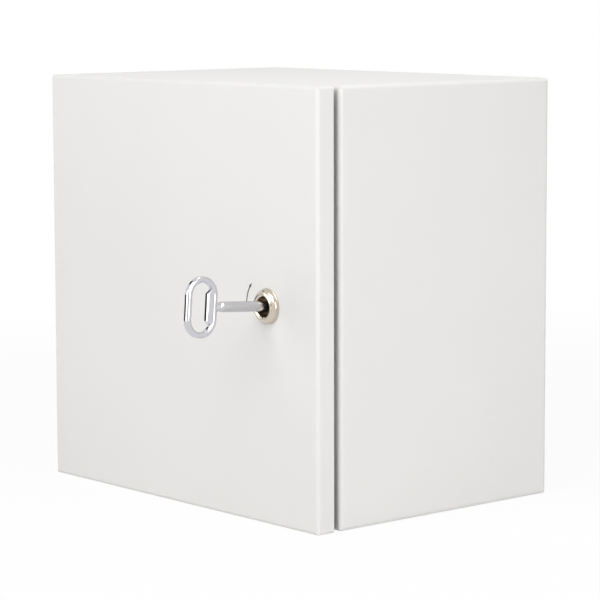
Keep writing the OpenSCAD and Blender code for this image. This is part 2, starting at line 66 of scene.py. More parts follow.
class Body(str, Enum):
    """The moving bodies of the enclosure."""

    ENCLOSURE = "enclosure"
    DOOR = "door"
    CORE = "lock_core"
    KEY = "key"


class Slot(str, Enum):
    """The record's material slots."""

    PAINT = "paint"
    FOAM = "foam"
    ZINC = "zinc_plate"
    CHROME = "chrome"
    DIE_CAST = "die_cast"
    BRASS = "brass"


class Facing(Enum):
    """Ways a fastener may point, as the direction from its seat to its tip."""

    FRONT = Vector((0, -1, 0))
    BACK = Vector((0, 1, 0))
    UP = Vector((0, 0, 1))


# ---------------------------------------------------------------- node trees


class Wire:
    """An output socket that takes part in arithmetic; each sum adds its Math node."""

    def __init__(self, graph: "Graph", socket: bpy.types.NodeSocket) -> None:
        """Keeps the socket and the graph it belongs to."""
        self.graph = graph
        self.socket = socket

    def _sum(self, operation: str, first: Setting, second: Setting) -> "Wire":
        """Adds one Math node.

        Args:
            operation: Blender's name of the operation.
            first: Left-hand value or wire.
            second: Right-hand value or wire.

        Returns:
            The result's wire.
        """
        return self.graph.add("ShaderNodeMath", {"operation": operation}, {0: first, 1: second})["Value"]

    def __add__(self, other: Setting) -> "Wire":
        """Sum."""
        return self._sum("ADD", self, other)

    __radd__ = __add__

    def __sub__(self, other: Setting) -> "Wire":
        """Difference."""
        return self._sum("SUBTRACT", self, other)

    def __rsub__(self, other: Setting) -> "Wire":
        """Difference from the left."""
        return self._sum("SUBTRACT", other, self)

    def __mul__(self, other: Setting) -> "Wire":
        """Product."""
        return self._sum("MULTIPLY", self, other)

    __rmul__ = __mul__

    def __pow__(self, other: Setting) -> "Wire":
        """Power."""
        return self._sum("POWER", self, other)

    def between(self, low: float, high: float) -> "Wire":
        """The wire's 0 to 1 spread over low to high."""
        return self * (high - low) + low


class Step:
    """One node of a graph, whose outputs are read by name, identifier or number."""

    def __init__(self, graph: "Graph", node: bpy.types.Node) -> None:
        """Keeps the node and its graph."""
        self.graph = graph
        self.node = node

    def __getitem__(self, key: str | int) -> Wire:
        """The wire of one output."""
        return Wire(self.graph, pick_socket(self.node.outputs, key))


def pick_socket(sockets: Iterable[bpy.types.NodeSocket], key: str | int) -> bpy.types.NodeSocket:
    """Finds a socket.

    Args:
        sockets: A node's inputs or outputs.
        key: The socket's number, identifier or name.

    Returns:
        The socket.
    """
    found = list(sockets)
    if isinstance(key, int):
        return found[key]
    by_identifier = {s.identifier: s for s in found}
    if key in by_identifier:
        return by_identifier[key]
    return next(s for s in found if s.name == key)


class Graph:
    """A node tree being built; every node comes from add()."""

    def __init__(self, tree: bpy.types.NodeTree) -> None:
        """Starts on an empty tree."""
        self.tree = tree
        tree.nodes.clear()

    def add(
        self,
        kind: str,
        settings: Mapping[str, Setting] | None = None,
        inputs: Mapping[str | int, Setting] | None = None,
    ) -> Step:
        """Adds one node.

        Args:
            kind: Blender's type name of the node.
            settings: Properties to set first; "stops" holds a ramp's (place, grey or colour) pairs.
            inputs: Values or wires, by the socket's number, identifier or name.

        Returns:
            The new step.
        """
        node = self.tree.nodes.new(kind)
        for name, value in (settings or {}).items():
            if name == "stops":
                self._set_stops(node.color_ramp, value)
            else:
                setattr(node, name, value)
        for key, value in (inputs or {}).items():
            socket = pick_socket(node.inputs, key)
            if isinstance(value, Wire):
                self.tree.links.new(value.socket, socket)
            else:
                socket.default_value = value
        return Step(self, node)

    @staticmethod
    def _set_stops(ramp: bpy.types.ColorRamp, stops: Sequence[tuple[float, float]]) -> None:
        """Gives a ramp its (place, grey) stops."""
        while len(ramp.elements) < len(stops):
            ramp.elements.new(0.5)
        for element, (place, grey) in zip(ramp.elements, stops):
            element.position = place
            element.color = (grey, grey, grey, 1.0)

    def place(self, stretch: Sequence[float] = (1.0, 1.0, 1.0)) -> Wire:
        """Object coordinates, stretched along each axis.

        Args:
            stretch: Factor on X, Y and Z.

        Returns:
            A vector wire.
        """
        coordinates = self.add("ShaderNodeTexCoord")["Object"]
        if tuple(stretch) == (1.0, 1.0, 1.0):
            return coordinates
        return self.add("ShaderNodeMapping", inputs={"Vector": coordinates, "Scale": tuple(stretch)})["Vector"]

    def noise(self, place: Wire, pitch: float, detail: float = 2.0, rough: float = 0.5) -> Wire:
        """Cloudy noise from 0 to 1.

        Args:
            place: Vector wire.
            pitch: Size of one cloud in metres.
            detail: Octaves.
            rough: Share that each finer octave keeps.

        Returns:
            A value wire.
        """
        step = self.add(
            "ShaderNodeTexNoise",
            inputs={"Vector": place, "Scale": 1 / pitch, "Detail": detail, "Roughness": rough},
        )
        return step["Fac"]

    def cells(self, place: Wire, pitch: float, feature: str = "F1") -> Step:
        """Voronoi cells of a given size in metres."""
        return self.add("ShaderNodeTexVoronoi", {"feature": feature}, {"Vector": place, "Scale": 1 / pitch})

    def ramp(self, value: Wire, *stops: tuple[float, float]) -> Wire:
        """A value re-shaped by grey stops."""
        return self.add("ShaderNodeValToRGB", {"stops": stops}, {"Fac": value})["Color"]

    def blend(self, share: Setting, first: Setting, second: Setting) -> Wire:
        """Mixes two colours.

        Args:
            share: How much of the second shows.
            first: Colour, as a triple or a wire.
            second: Colour, as a triple or a wire.

        Returns:
            A colour wire.
        """
        ends = [c if isinstance(c, Wire) else (*c, 1.0) for c in (first, second)]
        step = self.add(
            "ShaderNodeMix",
            {"data_type": "RGBA"},
            {"Factor_Float": share, "A_Color": ends[0], "B_Color": ends[1]},
        )
        return step["Result_Color"]

    def bump(self, height: Wire, depth: float) -> Wire:
        """A normal that follows a 0 to 1 height, depth metres from low to high."""
        return self.add("ShaderNodeBump", inputs={"Height": height, "Distance": depth, "Strength": 1.0})["Normal"]


# ------------------------------------------------------------------ finishes


def srgb(red: int, green: int, blue: int) -> Colour:
    """Turns an 8-bit sRGB colour into linear light."""
    return tuple(
        c / 12.92 if c <= 0.04045 else ((c + 0.055) / 1.055) ** 2.4
        for c in (red / 255, green / 255, blue / 255)
    )


def shaded(colour: Colour, factor: float) -> Colour:
    """The colour made darker or lighter by a factor."""
    return tuple(min(c * factor, 1.0) for c in colour)


@dataclass(frozen=True)
class Finish:
    """A surface finish. Each kind says what its shader's sockets hold."""

    name: str
    colour: Colour

    def sockets(self, graph: Graph) -> dict[str, Setting]:
        """Values and wires for the Principled shader."""
        raise NotImplementedError

    def material(self) -> bpy.types.Material:
        """The finish's material, built the first time it is asked for."""
        known = bpy.data.materials.get(self.name)
        if known:
            return known
        material = bpy.data.materials.new(self.name)
        material.use_nodes = True
        graph = Graph(material.node_tree)
        shader = graph.add("ShaderNodeBsdfPrincipled", inputs=self.sockets(graph))
        graph.add("ShaderNodeOutputMaterial", inputs={"Surface": shader["BSDF"]})
        return material


@dataclass(frozen=True)
class PowderCoat(Finish):
    """Baked powder paint: a fine orange peel over a slow drift of tone and gloss."""

    roughness: float = 0.42
    peel_pitch: float = 1.1 * MM
    peel_depth: float = 0.012 * MM
    drift_pitch: float = 90 * MM

    def sockets(self, graph: Graph) -> dict[str, Setting]:
        """Tone drifts slowly; peel and fine grain raise the surface."""
        place = graph.place()
        drift = graph.noise(place, self.drift_pitch, 3.0)
        peel = graph.noise(place, self.peel_pitch, 1.0)
        grain = graph.noise(place, self.peel_pitch / 4, 2.0)
        specks = graph.ramp(graph.noise(place, self.peel_pitch / 2, 0.0), (0.70, 0.0), (0.80, 1.0))
        clean = graph.blend(drift, shaded(self.colour, 0.985), shaded(self.colour, 1.012))
        return {
            "Base Color": graph.blend(specks * 0.06, clean, shaded(self.colour, 0.8)),
            "Roughness": drift.between(-0.04, 0.04) + peel.between(-0.04, 0.04) + self.roughness,
            "Specular IOR Level": 0.45,
            "Normal": graph.bump(peel * 0.8 + grain * 0.2, self.peel_depth),
        }


@dataclass(frozen=True)
class BrightPlate(Finish):
    """Polished plating: nearly a mirror, with faint waves, handling haze and hairlines."""

    roughness: float = 0.06
    haze: float = 0.10
    wave_pitch: float = 4 * MM
    wave_depth: float = 0.006 * MM
    stretch: tuple[float, float, float] = (1.0, 1.0, 1.0)

    def sockets(self, graph: Graph) -> dict[str, Setting]:
        """Haze dulls patches, hairlines run along the stretch."""
        place = graph.place()
        smudge = graph.noise(place, 6 * MM, 4.0, 0.6)
        lines = graph.noise(graph.place(self.stretch), 0.25 * MM, 3.0, 0.7)
        wave = graph.noise(place, self.wave_pitch, 1.0)
        tone = graph.blend(smudge, shaded(self.colour, 0.94), shaded(self.colour, 1.05))
        return {
            "Base Color": tone,
            "Metallic": 1.0,
            "Roughness": smudge ** 3.0 * self.haze + lines.between(0.0, 0.03) + self.roughness,
            "Normal": graph.bump(wave + lines * 0.12, self.wave_depth),
        }


@dataclass(frozen=True)
class PlatedMetal(Finish):
    """Dull plating or bare metal whose tone wanders between two colours."""

    second: Colour = (0.5, 0.5, 0.5)
    roughness: tuple[float, float] = (0.28, 0.42)
    drift_pitch: float = 14 * MM
    grain_pitch: float = 0.35 * MM
    grain_depth: float = 0.01 * MM
    stretch: tuple[float, float, float] = (1.0, 1.0, 1.0)

    def sockets(self, graph: Graph) -> dict[str, Setting]:
        """Tone and gloss drift together; a fine grain breaks the shine."""
        place = graph.place()
        drift = graph.ramp(graph.noise(place, self.drift_pitch, 4.0, 0.6), (0.3, 0.0), (0.7, 1.0))
        grain = graph.noise(graph.place(self.stretch), self.grain_pitch, 3.0, 0.65)
        tone = graph.blend(drift, self.colour, self.second)
        low, high = self.roughness
        return {
            "Base Color": graph.blend(grain * 0.5, tone, shaded(self.colour, 0.82)),
            "Metallic": 1.0,
            "Roughness": (drift * 0.6 + grain * 0.4).between(low, high),
            "Normal": graph.bump(grain, self.grain_depth),
        }


@dataclass(frozen=True)
class SpangledZinc(Finish):
    """Hot-dipped sheet with its flat crystal flakes, rolled smooth."""

    spangle: float = 7 * MM
    roughness: tuple[float, float] = (0.30, 0.52)

    def sockets(self, graph: Graph) -> dict[str, Setting]:
        """Each crystal has its own tone and gloss."""
        place = graph.place()
        bend = graph.add(
            "ShaderNodeVectorMath",
            {"operation": "MULTIPLY_ADD"},
            {
                0: graph.add("ShaderNodeTexNoise", inputs={"Vector": place, "Scale": 260.0})["Color"],
                1: (0.002, 0.002, 0.002),
                2: place,
            },
        )["Vector"]
        crystal = graph.cells(bend, self.spangle)["Color"]
        shade = graph.add("ShaderNodeSeparateColor", inputs={"Color": crystal})["Red"]
        frost = graph.noise(place, 0.5 * MM, 3.0, 0.7)
        tone = graph.blend(shade, shaded(self.colour, 0.88), shaded(self.colour, 1.08))
        low, high = self.roughness
        return {
            "Base Color": graph.blend(frost * 0.3, tone, shaded(self.colour, 0.8)),
            "Metallic": 1.0,
            "Roughness": (shade * 0.7 + frost * 0.3).between(low, high),
            "Normal": graph.bump(shade * 0.5 + frost * 0.5, 0.012 * MM),
        }


@dataclass(frozen=True)
class PouredFoam(Finish):
    """Foamed polyurethane: a matt skin dimpled by closed cells, the hollows darkened with painted shade."""

    cell: float = 0.9 * MM

    def sockets(self, graph: Graph) -> dict[str, Setting]:
        """Cells dimple the skin; their middles are darkened with painted shade."""
        place = graph.place()
        distance = graph.cells(place, self.cell)["Distance"]
        # One cell mask both dents the skin and paints shade into the dents.
        pores_and_shade = graph.ramp(graph.cells(place, self.cell * 2.6)["Distance"], (0.08, 0.0), (0.22, 1.0))
        skin = graph.noise(place, 5 * MM, 3.0)
        tone = graph.blend(skin, shaded(self.colour, 0.85), shaded(self.colour, 1.2))
        return {
            # Painted shade: the pore middles are darkened to 45 % of the foam's colour.
            "Base Color": graph.blend(pores_and_shade, shaded(self.colour, 0.45), tone),
            "Roughness": skin.between(0.78, 0.92),
            "Specular IOR Level": 0.35,
            "Normal": graph.bump(distance * 0.35 + pores_and_shade * 0.65, 0.16 * MM),
        }


@dataclass(frozen=True)
class MouldedRubber(Finish):
    """Dense black rubber with a bloom of dust and a moulded grain."""

    def sockets(self, graph: Graph) -> dict[str, Setting]:
        """Bloom lightens patches and dulls them."""
        place = graph.place()
        bloom = graph.noise(place, 9 * MM, 4.0, 0.6)
        grain = graph.noise(place, 0.3 * MM, 2.0)
        return {
            "Base Color": graph.blend(bloom ** 2.0, self.colour, shaded(self.colour, 2.2)),
            "Roughness": bloom.between(0.5, 0.8),
            "Specular IOR Level": 0.4,
            "Normal": graph.bump(grain, 0.02 * MM),
        }


@dataclass(frozen=True)
class PrintedInk(Finish):
    """Screen-printed ink: solid, with a few pinholes where the paint's peel shows."""

    under: Colour = (0.7, 0.7, 0.7)

    def sockets(self, graph: Graph) -> dict[str, Setting]:
        """Pinholes let the paint through."""
        place = graph.place()
        film = graph.noise(place, 0.5 * MM, 2.0)
        pinholes = graph.ramp(graph.noise(place, 0.12 * MM, 1.0), (0.72, 0.0), (0.82, 1.0))
        return {
            "Base Color": graph.blend(pinholes * 0.5, self.colour, self.under),
            "Roughness": film.between(0.35, 0.55),
            "Normal": graph.bump(film, 0.006 * MM),
        }


PAINT = PowderCoat("light_grey_powder_coat", srgb(224, 223, 221))
KEY_CHROME = BrightPlate("key_chrome", srgb(203, 202, 208), roughness=0.07, stretch=(1.0, 0.05, 1.0))
KEY_SATIN = PlatedMetal(
    "key_satin_plate",
    srgb(206, 205, 208),
    second=srgb(203, 202, 205),
    roughness=(0.22, 0.28),
    grain_pitch=0.2 * MM,
    grain_depth=0.001 * MM,
    stretch=(0.15, 1.0, 0.15),
)
BEZEL_NICKEL = BrightPlate("bezel_nickel", srgb(204, 194, 180), roughness=0.035, wave_pitch=7 * MM)
ZINC = PlatedMetal("bright_zinc", srgb(206, 209, 214), second=srgb(196, 193, 184), grain_depth=0.006 * MM)
DARK_ZINC = PlatedMetal(
    "die_cast_zinc",
    srgb(150, 147, 141),
    second=srgb(122, 119, 114),
    roughness=(0.30, 0.50),
    drift_pitch=5 * MM,
    grain_depth=0.02 * MM,
)
BRASS = PlatedMetal(
    "brass",
    srgb(214, 178, 104),
    second=srgb(190, 150, 84),
    roughness=(0.22, 0.38),
    drift_pitch=6 * MM,
)
STEEL = PlatedMetal(
    "ground_steel",
    srgb(190, 190, 188),
    second=srgb(176, 175, 172),
    roughness=(0.18, 0.30),
    stretch=(1.0, 1.0, 0.1),
    grain_depth=0.004 * MM,
)
PANEL_ZINC = SpangledZinc("spangled_zinc_sheet", srgb(200, 203, 206))
FOAM = PouredFoam("poured_foam", srgb(52, 52, 54))
RUBBER = MouldedRubber("black_rubber", srgb(34, 34, 35))
INK = PrintedInk("black_ink", srgb(42, 42, 43), under=srgb(224, 223, 220))


# --------------------------------------------------------------- mesh making

Radius = Union[float, Callable[[float], float]]


def ring(radius: Radius, height: Radius, segments: int) -> list[Vector]:
    """Points round the Z axis.

    Args:
        radius: Distance from the axis, or a function of the angle.
        height: Place along the axis, or a function of the angle.
        segments: How many points.

    Returns:
        The points, anticlockwise from the X axis.
    """
    points = []
    for i in range(segments):
        angle = math.tau * i / segments
        reach = radius(angle) if callable(radius) else radius
        rise = height(angle) if callable(height) else height
        points.append(Vector((reach * math.cos(angle), reach * math.sin(angle), rise)))
    return points


def loft(rings: Sequence[Sequence[Vector]], closed: bool = False) -> bmesh.types.BMesh:
    """Skins a row of rings that all have the same number of points.

    Args:
        rings: The rings in order.
        closed: True joins the last ring to the first; otherwise both ends are capped.

    Returns:
        A closed mesh whose faces point outwards.
    """
    mesh = bmesh.new()
    rows = [[mesh.verts.new(p) for p in points] for points in rings]
    pairs = list(zip(rows, rows[1:]))
    if closed:
        pairs.append((rows[-1], rows[0]))
    else:
        mesh.faces.new(list(reversed(rows[0])))
        mesh.faces.new(rows[-1])
    count = len(rows[0])
    for lower, upper in pairs:
        for i in range(count):
            j = (i + 1) % count
            mesh.faces.new((lower[i], lower[j], upper[j], upper[i]))
    return tidied(mesh)


def tidied(mesh: bmesh.types.BMesh) -> bmesh.types.BMesh:
    """Merges doubles, drops slivers and turns every face outwards."""
    bmesh.ops.remove_doubles(mesh, verts=mesh.verts, dist=1e-7)
    bmesh.ops.dissolve_degenerate(mesh, edges=mesh.edges, dist=1e-8)
    bmesh.ops.recalc_face_normals(mesh, faces=mesh.faces)
    return mesh


def lathe(profile: Sequence[tuple[float, float]], segments: int = 64, closed: bool = False) -> bmesh.types.BMesh:
    """Turns a profile of (radius, height) points about the Z axis."""
    return loft([ring(r, h, segments) for r, h in profile], closed)


def joined(parts: Iterable[bmesh.types.BMesh]) -> bmesh.types.BMesh:
    """Puts several meshes into one, each part still closed by itself."""
    whole = bmesh.new()
    for part in parts:
        data = bpy.data.meshes.new("part")
        part.to_mesh(data)
        part.free()
        whole.from_mesh(data)
        bpy.data.meshes.remove(data)
    return whole


def block(low: Sequence[float], high: Sequence[float], edge: float) -> bmesh.types.BMesh:
    """A box with bevelled edges.

    Args:
        low: Lowest corner.
        high: Highest corner.
        edge: Width of the bevel.

    Returns:
        The mesh.
    """
    mesh = bmesh.new()
    bmesh.ops.create_cube(mesh, size=1.0)
    low, high = Vector(low), Vector(high)
    for vertex in mesh.verts:
        vertex.co = Vector(((vertex.co[i] + 0.5) * (high[i] - low[i]) + low[i] for i in range(3)))
    bmesh.ops.bevel(mesh, geom=mesh.edges, offset=edge, segments=3, profile=0.5, affect="EDGES")
    return tidied(mesh)


def prism(outline: Iterable[Sequence[float]], lift: Sequence[float]) -> bmesh.types.BMesh:
    """A flat outline drawn out along a direction."""
    mesh = bmesh.new()
    face = mesh.faces.new([mesh.verts.new(point) for point in outline])
    grown = bmesh.ops.extrude_face_region(mesh, geom=[face])["geom"]
    for vertex in (g for g in grown if isinstance(g, bmesh.types.BMVert)):
        vertex.co += Vector(lift)
    return tidied(mesh)


def arc(centre: tuple[float, float], radius: float, start: float, end: float, steps: int) -> list[tuple[float, float]]:
    """Points along an arc, angles in degrees, both ends included."""
    turn = [math.radians(start + (end - start) * i / steps) for i in range(steps + 1)]
    return [(centre[0] + radius * math.cos(a), centre[1] + radius * math.sin(a)) for a in turn]


def rounded_outline(width: float, height: float, radius: float, steps: int = 6) -> list[tuple[float, float]]:
    """A rounded rectangle about the origin, anticlockwise."""
    points: list[tuple[float, float]] = []
    for i, (x, y) in enumerate(((1, 1), (-1, 1), (-1, -1), (1, -1))):
        centre = (x * (width / 2 - radius), y * (height / 2 - radius))
        points += arc(centre, radius, 90 * i, 90 * i + 90, steps)
    return points


def path_stations(width: float, height: float, radius: float, steps: int, pitch: float) -> list[tuple[Vector, Vector]]:
    """Stations round a rounded rectangle: a point and the direction outwards.

    Args:
        width: Size across.
        height: Size up.
        radius: Corner radius.
        steps: Stations in each corner.
        pitch: Largest distance between stations on the straights.

    Returns:
        Pairs of 2D vectors, anticlockwise, without a repeated end.
    """
    stations: list[tuple[Vector, Vector]] = []
    corners = ((1, 1), (-1, 1), (-1, -1), (1, -1))
    for i, (x, y) in enumerate(corners):
        centre = Vector((x * (width / 2 - radius), y * (height / 2 - radius)))
        for s in range(steps + 1):
            angle = math.radians(90 * (i + s / steps))
            outwards = Vector((math.cos(angle), math.sin(angle)))
            stations.append((centre + outwards * radius, outwards))
        length = (height if i % 2 else width) - 2 * radius
        along = Vector((-outwards.y, outwards.x))
        extra = int(length / pitch)
        start = stations[-1][0]
        stations += [(start + along * length * k / (extra + 1), outwards) for k in range(1, extra + 1)]
    return stations


def forwards(origin: Sequence[float]) -> Matrix:
    """Places a mesh so that its Z points to the front and its Y points up."""
    turn = Matrix(((1, 0, 0), (0, 0, -1), (0, 1, 0)))
    return Matrix.Translation(Vector(origin)) @ turn.to_4x4()


def make_piece(name: str, mesh: bmesh.types.BMesh, finish: Finish, place: Matrix | None = None,
               sharp: float = 32.0) -> bpy.types.Object:
    """Turns a mesh into a finished object at the origin.

    Args:
        name: The object's name.
        mesh: Its shape, which is used up.
        finish: Its finish.
        place: Where its own frame goes.
        sharp: Edges that bend more than this many degrees stay crisp.

    Returns:
        The object.
    """
    if place is not None:
        mesh.transform(place)
    for face in mesh.faces:
        face.smooth = True
    limit = math.radians(sharp)
    for edge in mesh.edges:
        edge.smooth = len(edge.link_faces) == 2 and edge.calc_face_angle(0.0) < limit
    data = bpy.data.meshes.new(name)
    mesh.to_mesh(data)
    mesh.free()
    data.materials.append(finish.material())
    piece = bpy.data.objects.new(name, data)
    bpy.context.scene.collection.objects.link(piece)
    return piece


def plain_copy(name: str, source: bpy.types.Object) -> bpy.types.Object:
    """Bakes an object's modifiers into a plain mesh object and removes the source.

    Args:
        name: The new object's name.
        source: The object with its modifiers.

    Returns:
        The plain object.
    """
    graph = bpy.context.evaluated_depsgraph_get()
    data = bpy.data.meshes.new_from_object(source.evaluated_get(graph), depsgraph=graph)
    data.name = name
    piece = bpy.data.objects.new(name, data)
    bpy.context.scene.collection.objects.link(piece)
    bpy.data.objects.remove(source)
    return piece


def subtract(piece: bpy.types.Object, cutter: bpy.types.Object) -> bpy.types.Object:
    """Cuts one object out of another and bakes the result."""
    name = piece.name
    piece.name = name + "_uncut"
    cut = piece.modifiers.new("cut", "BOOLEAN")
    cut.operation = "DIFFERENCE"
    cut.solver = "EXACT"
    cut.object = cutter
    bpy.context.view_layer.update()
    result = plain_copy(name, piece)
    bpy.data.objects.remove(cutter)
    return result


def settle(piece: bpy.types.Object, body: Body, slot: Slot | None, *nodes: str) -> bpy.types.Object:
    """Lets a finished piece ride on its body and stand for its CAD nodes.

    Args:
        piece: The piece, in place.
        body: The body that carries it.
        slot: Not used.
        nodes: The CAD nodes that it replaces.

    Returns:
        The piece.
    """
    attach(piece, body.value)
    if nodes:
        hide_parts(*nodes)
    log.info("%-24s rides on %-10s %6d faces", piece.name, body.value, len(piece.data.polygons))
    return piece


def dress(finish: Finish, *nodes: str) -> None:
    """Gives CAD nodes whose shape stays a finish."""
    for name in nodes:
        for slot in frame["nodes"][name].material_slots:
            slot.material = finish.material()
        log.info("%-24s dressed as %s", name, finish.name)


@dataclass(frozen=True)
class Box:
    """The box of one solid."""

    low: Vector
    high: Vector

    @property
    def middle(self) -> Vector:
        """The box's centre."""
        return (self.low + self.high) / 2

    @property
    def size(self) -> Vector:
        """The box's size."""
        return self.high - self.low


def solids(node: str) -> list[Box]:
    """The boxes of a CAD node's separate solids, from left to right and from bottom to top."""
    mesh = bmesh.new()
    mesh.from_mesh(frame["nodes"][node].data)
    bmesh.ops.remove_doubles(mesh, verts=mesh.verts, dist=1e-6)
    waiting = set(mesh.verts)
    boxes = []
    while waiting:
        found = [waiting.pop()]
        for vertex in found:
            for edge in vertex.link_edges:
                other = edge.other_vert(vertex)
                if other in waiting:
                    waiting.remove(other)
                    found.append(other)
        low = Vector(min(v.co[i] for v in found) for i in range(3))
        high = Vector(max(v.co[i] for v in found) for i in range(3))
        boxes.append(Box(low, high))
    mesh.free()
    return sorted(boxes, key=lambda b: [round(c, 4) for c in b.low])


# ------------------------------------------------------------ geometry nodes


class Recipe:
    """A Geometry Nodes tree with named inputs that ends in plain, finished geometry."""

    def __init__(self, name: str) -> None:
        """Starts a tree whose first input is the geometry it works on."""
        self.tree = bpy.data.node_groups.new(name, "GeometryNodeTree")
        self.graph = Graph(self.tree)
        self.tree.interface.new_socket("Geometry", in_out="OUTPUT", socket_type="NodeSocketGeometry")
        self.tree.interface.new_socket("Geometry", in_out="INPUT", socket_type="NodeSocketGeometry")
        self.names: dict[str, str] = {}

    def inputs(self, **kinds: str) -> Step:
        """Adds the named inputs.

        Args:
            kinds: Each input's name and its kind of socket, without the NodeSocket prefix.

        Returns:
            The Group Input step, whose outputs are read by these names.
        """
        for name, kind in kinds.items():
            socket = self.tree.interface.new_socket(name, in_out="INPUT", socket_type="NodeSocket" + kind)
            self.names[name] = socket.identifier
        return self.graph.add("NodeGroupInput")

    def end(self, geometry: Wire, material: Wire) -> None:
        """Realizes what the tree made and gives it its material."""
        real = self.graph.add("GeometryNodeRealizeInstances", inputs={"Geometry": geometry})["Geometry"]
        done = self.graph.add("GeometryNodeSetMaterial", inputs={"Geometry": real, "Material": material})
        self.graph.add("NodeGroupOutput", inputs={0: done["Geometry"]})

    def cook(self, name: str, points: Sequence[Vector], **values: Setting) -> bpy.types.Object:
        """Runs the tree on a set of points.

        Args:
            name: The new piece's name.
            points: Where the tree starts.
            values: The named inputs.

        Returns:
            A plain mesh object.
        """
        seed = bpy.data.meshes.new(name + "_points")
        seed.from_pydata(list(points), [], [])
        holder = bpy.data.objects.new(name + "_points", seed)
        bpy.context.scene.collection.objects.link(holder)
        modifier = holder.modifiers.new("recipe", "NODES")
        modifier.node_group = self.tree
        for key, value in values.items():
            modifier[self.names[key]] = value
        bpy.context.view_layer.update()
        return plain_copy(name, holder)


def set_on_points(graph: Graph, given: Step, template: Wire) -> Wire:
    """Instances a shape on the given points, turned to Facing, each spun a little about its own axis.

    Args:
        graph: The tree's graph.
        given: The Group Input step, with Facing, Spin and Seed.
        template: Geometry to repeat, standing on z = 0.

    Returns:
        The instances' wire.
    """
    turn = graph.add("FunctionNodeAlignRotationToVector", {"axis": "Z"}, {"Vector": given["Facing"]})["Rotation"]
    placed = graph.add(
        "GeometryNodeInstanceOnPoints",
        inputs={"Points": given["Geometry"], "Instance": template, "Rotation": turn},
    )["Instances"]
    chance = graph.add(
        "FunctionNodeRandomValue",
        {"data_type": "FLOAT"},
        {"Min_001": 0.0, "Max_001": given["Spin"], "Seed": given["Seed"]},
    )["Value_001"]
    spin = graph.add("ShaderNodeCombineXYZ", inputs={"Z": chance})["Vector"]
    return graph.add(
        "GeometryNodeRotateInstances", inputs={"Instances": placed, "Rotation": spin, "Local Space": True}
    )["Instances"]


def repeat_recipe() -> Recipe:
    """A tree that repeats a template object on points."""
    recipe = Recipe("set_fasteners")
    given = recipe.inputs(Template="Object", Facing="Vector", Spin="Float", Seed="Int", Finish="Material")
    shape = recipe.graph.add("GeometryNodeObjectInfo", inputs={"Object": given["Template"]})["Geometry"]
    recipe.end(set_on_points(recipe.graph, given, shape), given["Finish"])
    return recipe


def thread_recipe() -> Recipe:
    """A tree that winds a thread round a template's core and repeats the whole on points."""
    recipe = Recipe("set_threaded")
    graph = recipe.graph
    given = recipe.inputs(
        Template="Object", Facing="Vector", Spin="Float", Seed="Int", Finish="Material",
        Start="Float", Length="Float", Radius="Float", Pitch="Float",
    )
    turns = graph.add("ShaderNodeMath", {"operation": "DIVIDE"}, {0: given["Length"], 1: given["Pitch"]})["Value"]
    spiral = graph.add(
        "GeometryNodeCurveSpiral",
        inputs={
            "Resolution": 20, "Rotations": turns, "Start Radius": given["Radius"],
            "End Radius": given["Radius"], "Height": given["Length"],
        },
    )["Curve"]
    ridge = graph.add(
        "GeometryNodeCurvePrimitiveCircle", {"mode": "RADIUS"}, {"Resolution": 4, "Radius": given["Pitch"] * 0.5}
    )["Curve"]
    thread = graph.add(
        "GeometryNodeCurveToMesh", inputs={"Curve": spiral, "Profile Curve": ridge, "Fill Caps": True}
    )["Mesh"]
    lift = graph.add("ShaderNodeCombineXYZ", inputs={"Z": given["Start"]})["Vector"]
    raised = graph.add("GeometryNodeTransform", inputs={"Geometry": thread, "Translation": lift})["Geometry"]
    core = graph.add("GeometryNodeObjectInfo", inputs={"Object": given["Template"]})["Geometry"]
    whole = graph.add("GeometryNodeJoinGeometry", inputs={0: core})
    recipe.tree.links.new(raised.socket, whole.node.inputs[0])
    recipe.end(set_on_points(graph, given, whole["Geometry"]), given["Finish"])
    return recipe


# ----------------------------------------------------------------- fasteners


def hexagon(flats: float) -> Callable[[float], float]:
    """The radius of a hexagon, by its width across flats, as a function of the angle."""
    sixth = math.pi / 3
    return lambda angle: flats / 2 / math.cos((angle + sixth / 2) % sixth - sixth / 2)


@dataclass
class HexNut:
    """A hexagon nut with both chamfers, standing on z = 0, on a round flange where it has one."""

    thread: float
    flats: float
    height: float
    flange: float = 0.0
    segments: int = 48

    def mesh(self) -> bmesh.types.BMesh:
        """The nut's shape: bore, chamfered top, six flats, and its seat."""
        bore = self.thread / 2 + 0.05 * MM
        ease = self.thread * 0.07
        crown = self.flats / 2 * 0.965
        slope = math.tan(math.radians(30))
        radius = hexagon(self.flats)

        def drop(angle: float) -> float:
            """How far the chamfer cuts the corner down."""
            return max(0.0, radius(angle) - crown) * slope

        rows: list[tuple[Radius, Radius]] = [
            (bore + ease, 0.0), (bore, ease), (bore, self.height - ease), (bore + ease, self.height),
            (crown, self.height), (radius, lambda a: self.height - drop(a)),
        ]
        if self.flange:
            skirt = self.flange / 2
            rows += [
                (radius, lambda a: self.height * 0.42 - drop(a)),
                (skirt * 0.9, self.height * 0.24), (skirt, self.height * 0.16), (skirt, ease * 0.4),
                (skirt - ease * 0.4, 0.0),
            ]
        else:
            rows += [(radius, drop), (crown, 0.0)]
        return loft([ring(r, h, self.segments) for r, h in rows], closed=True)


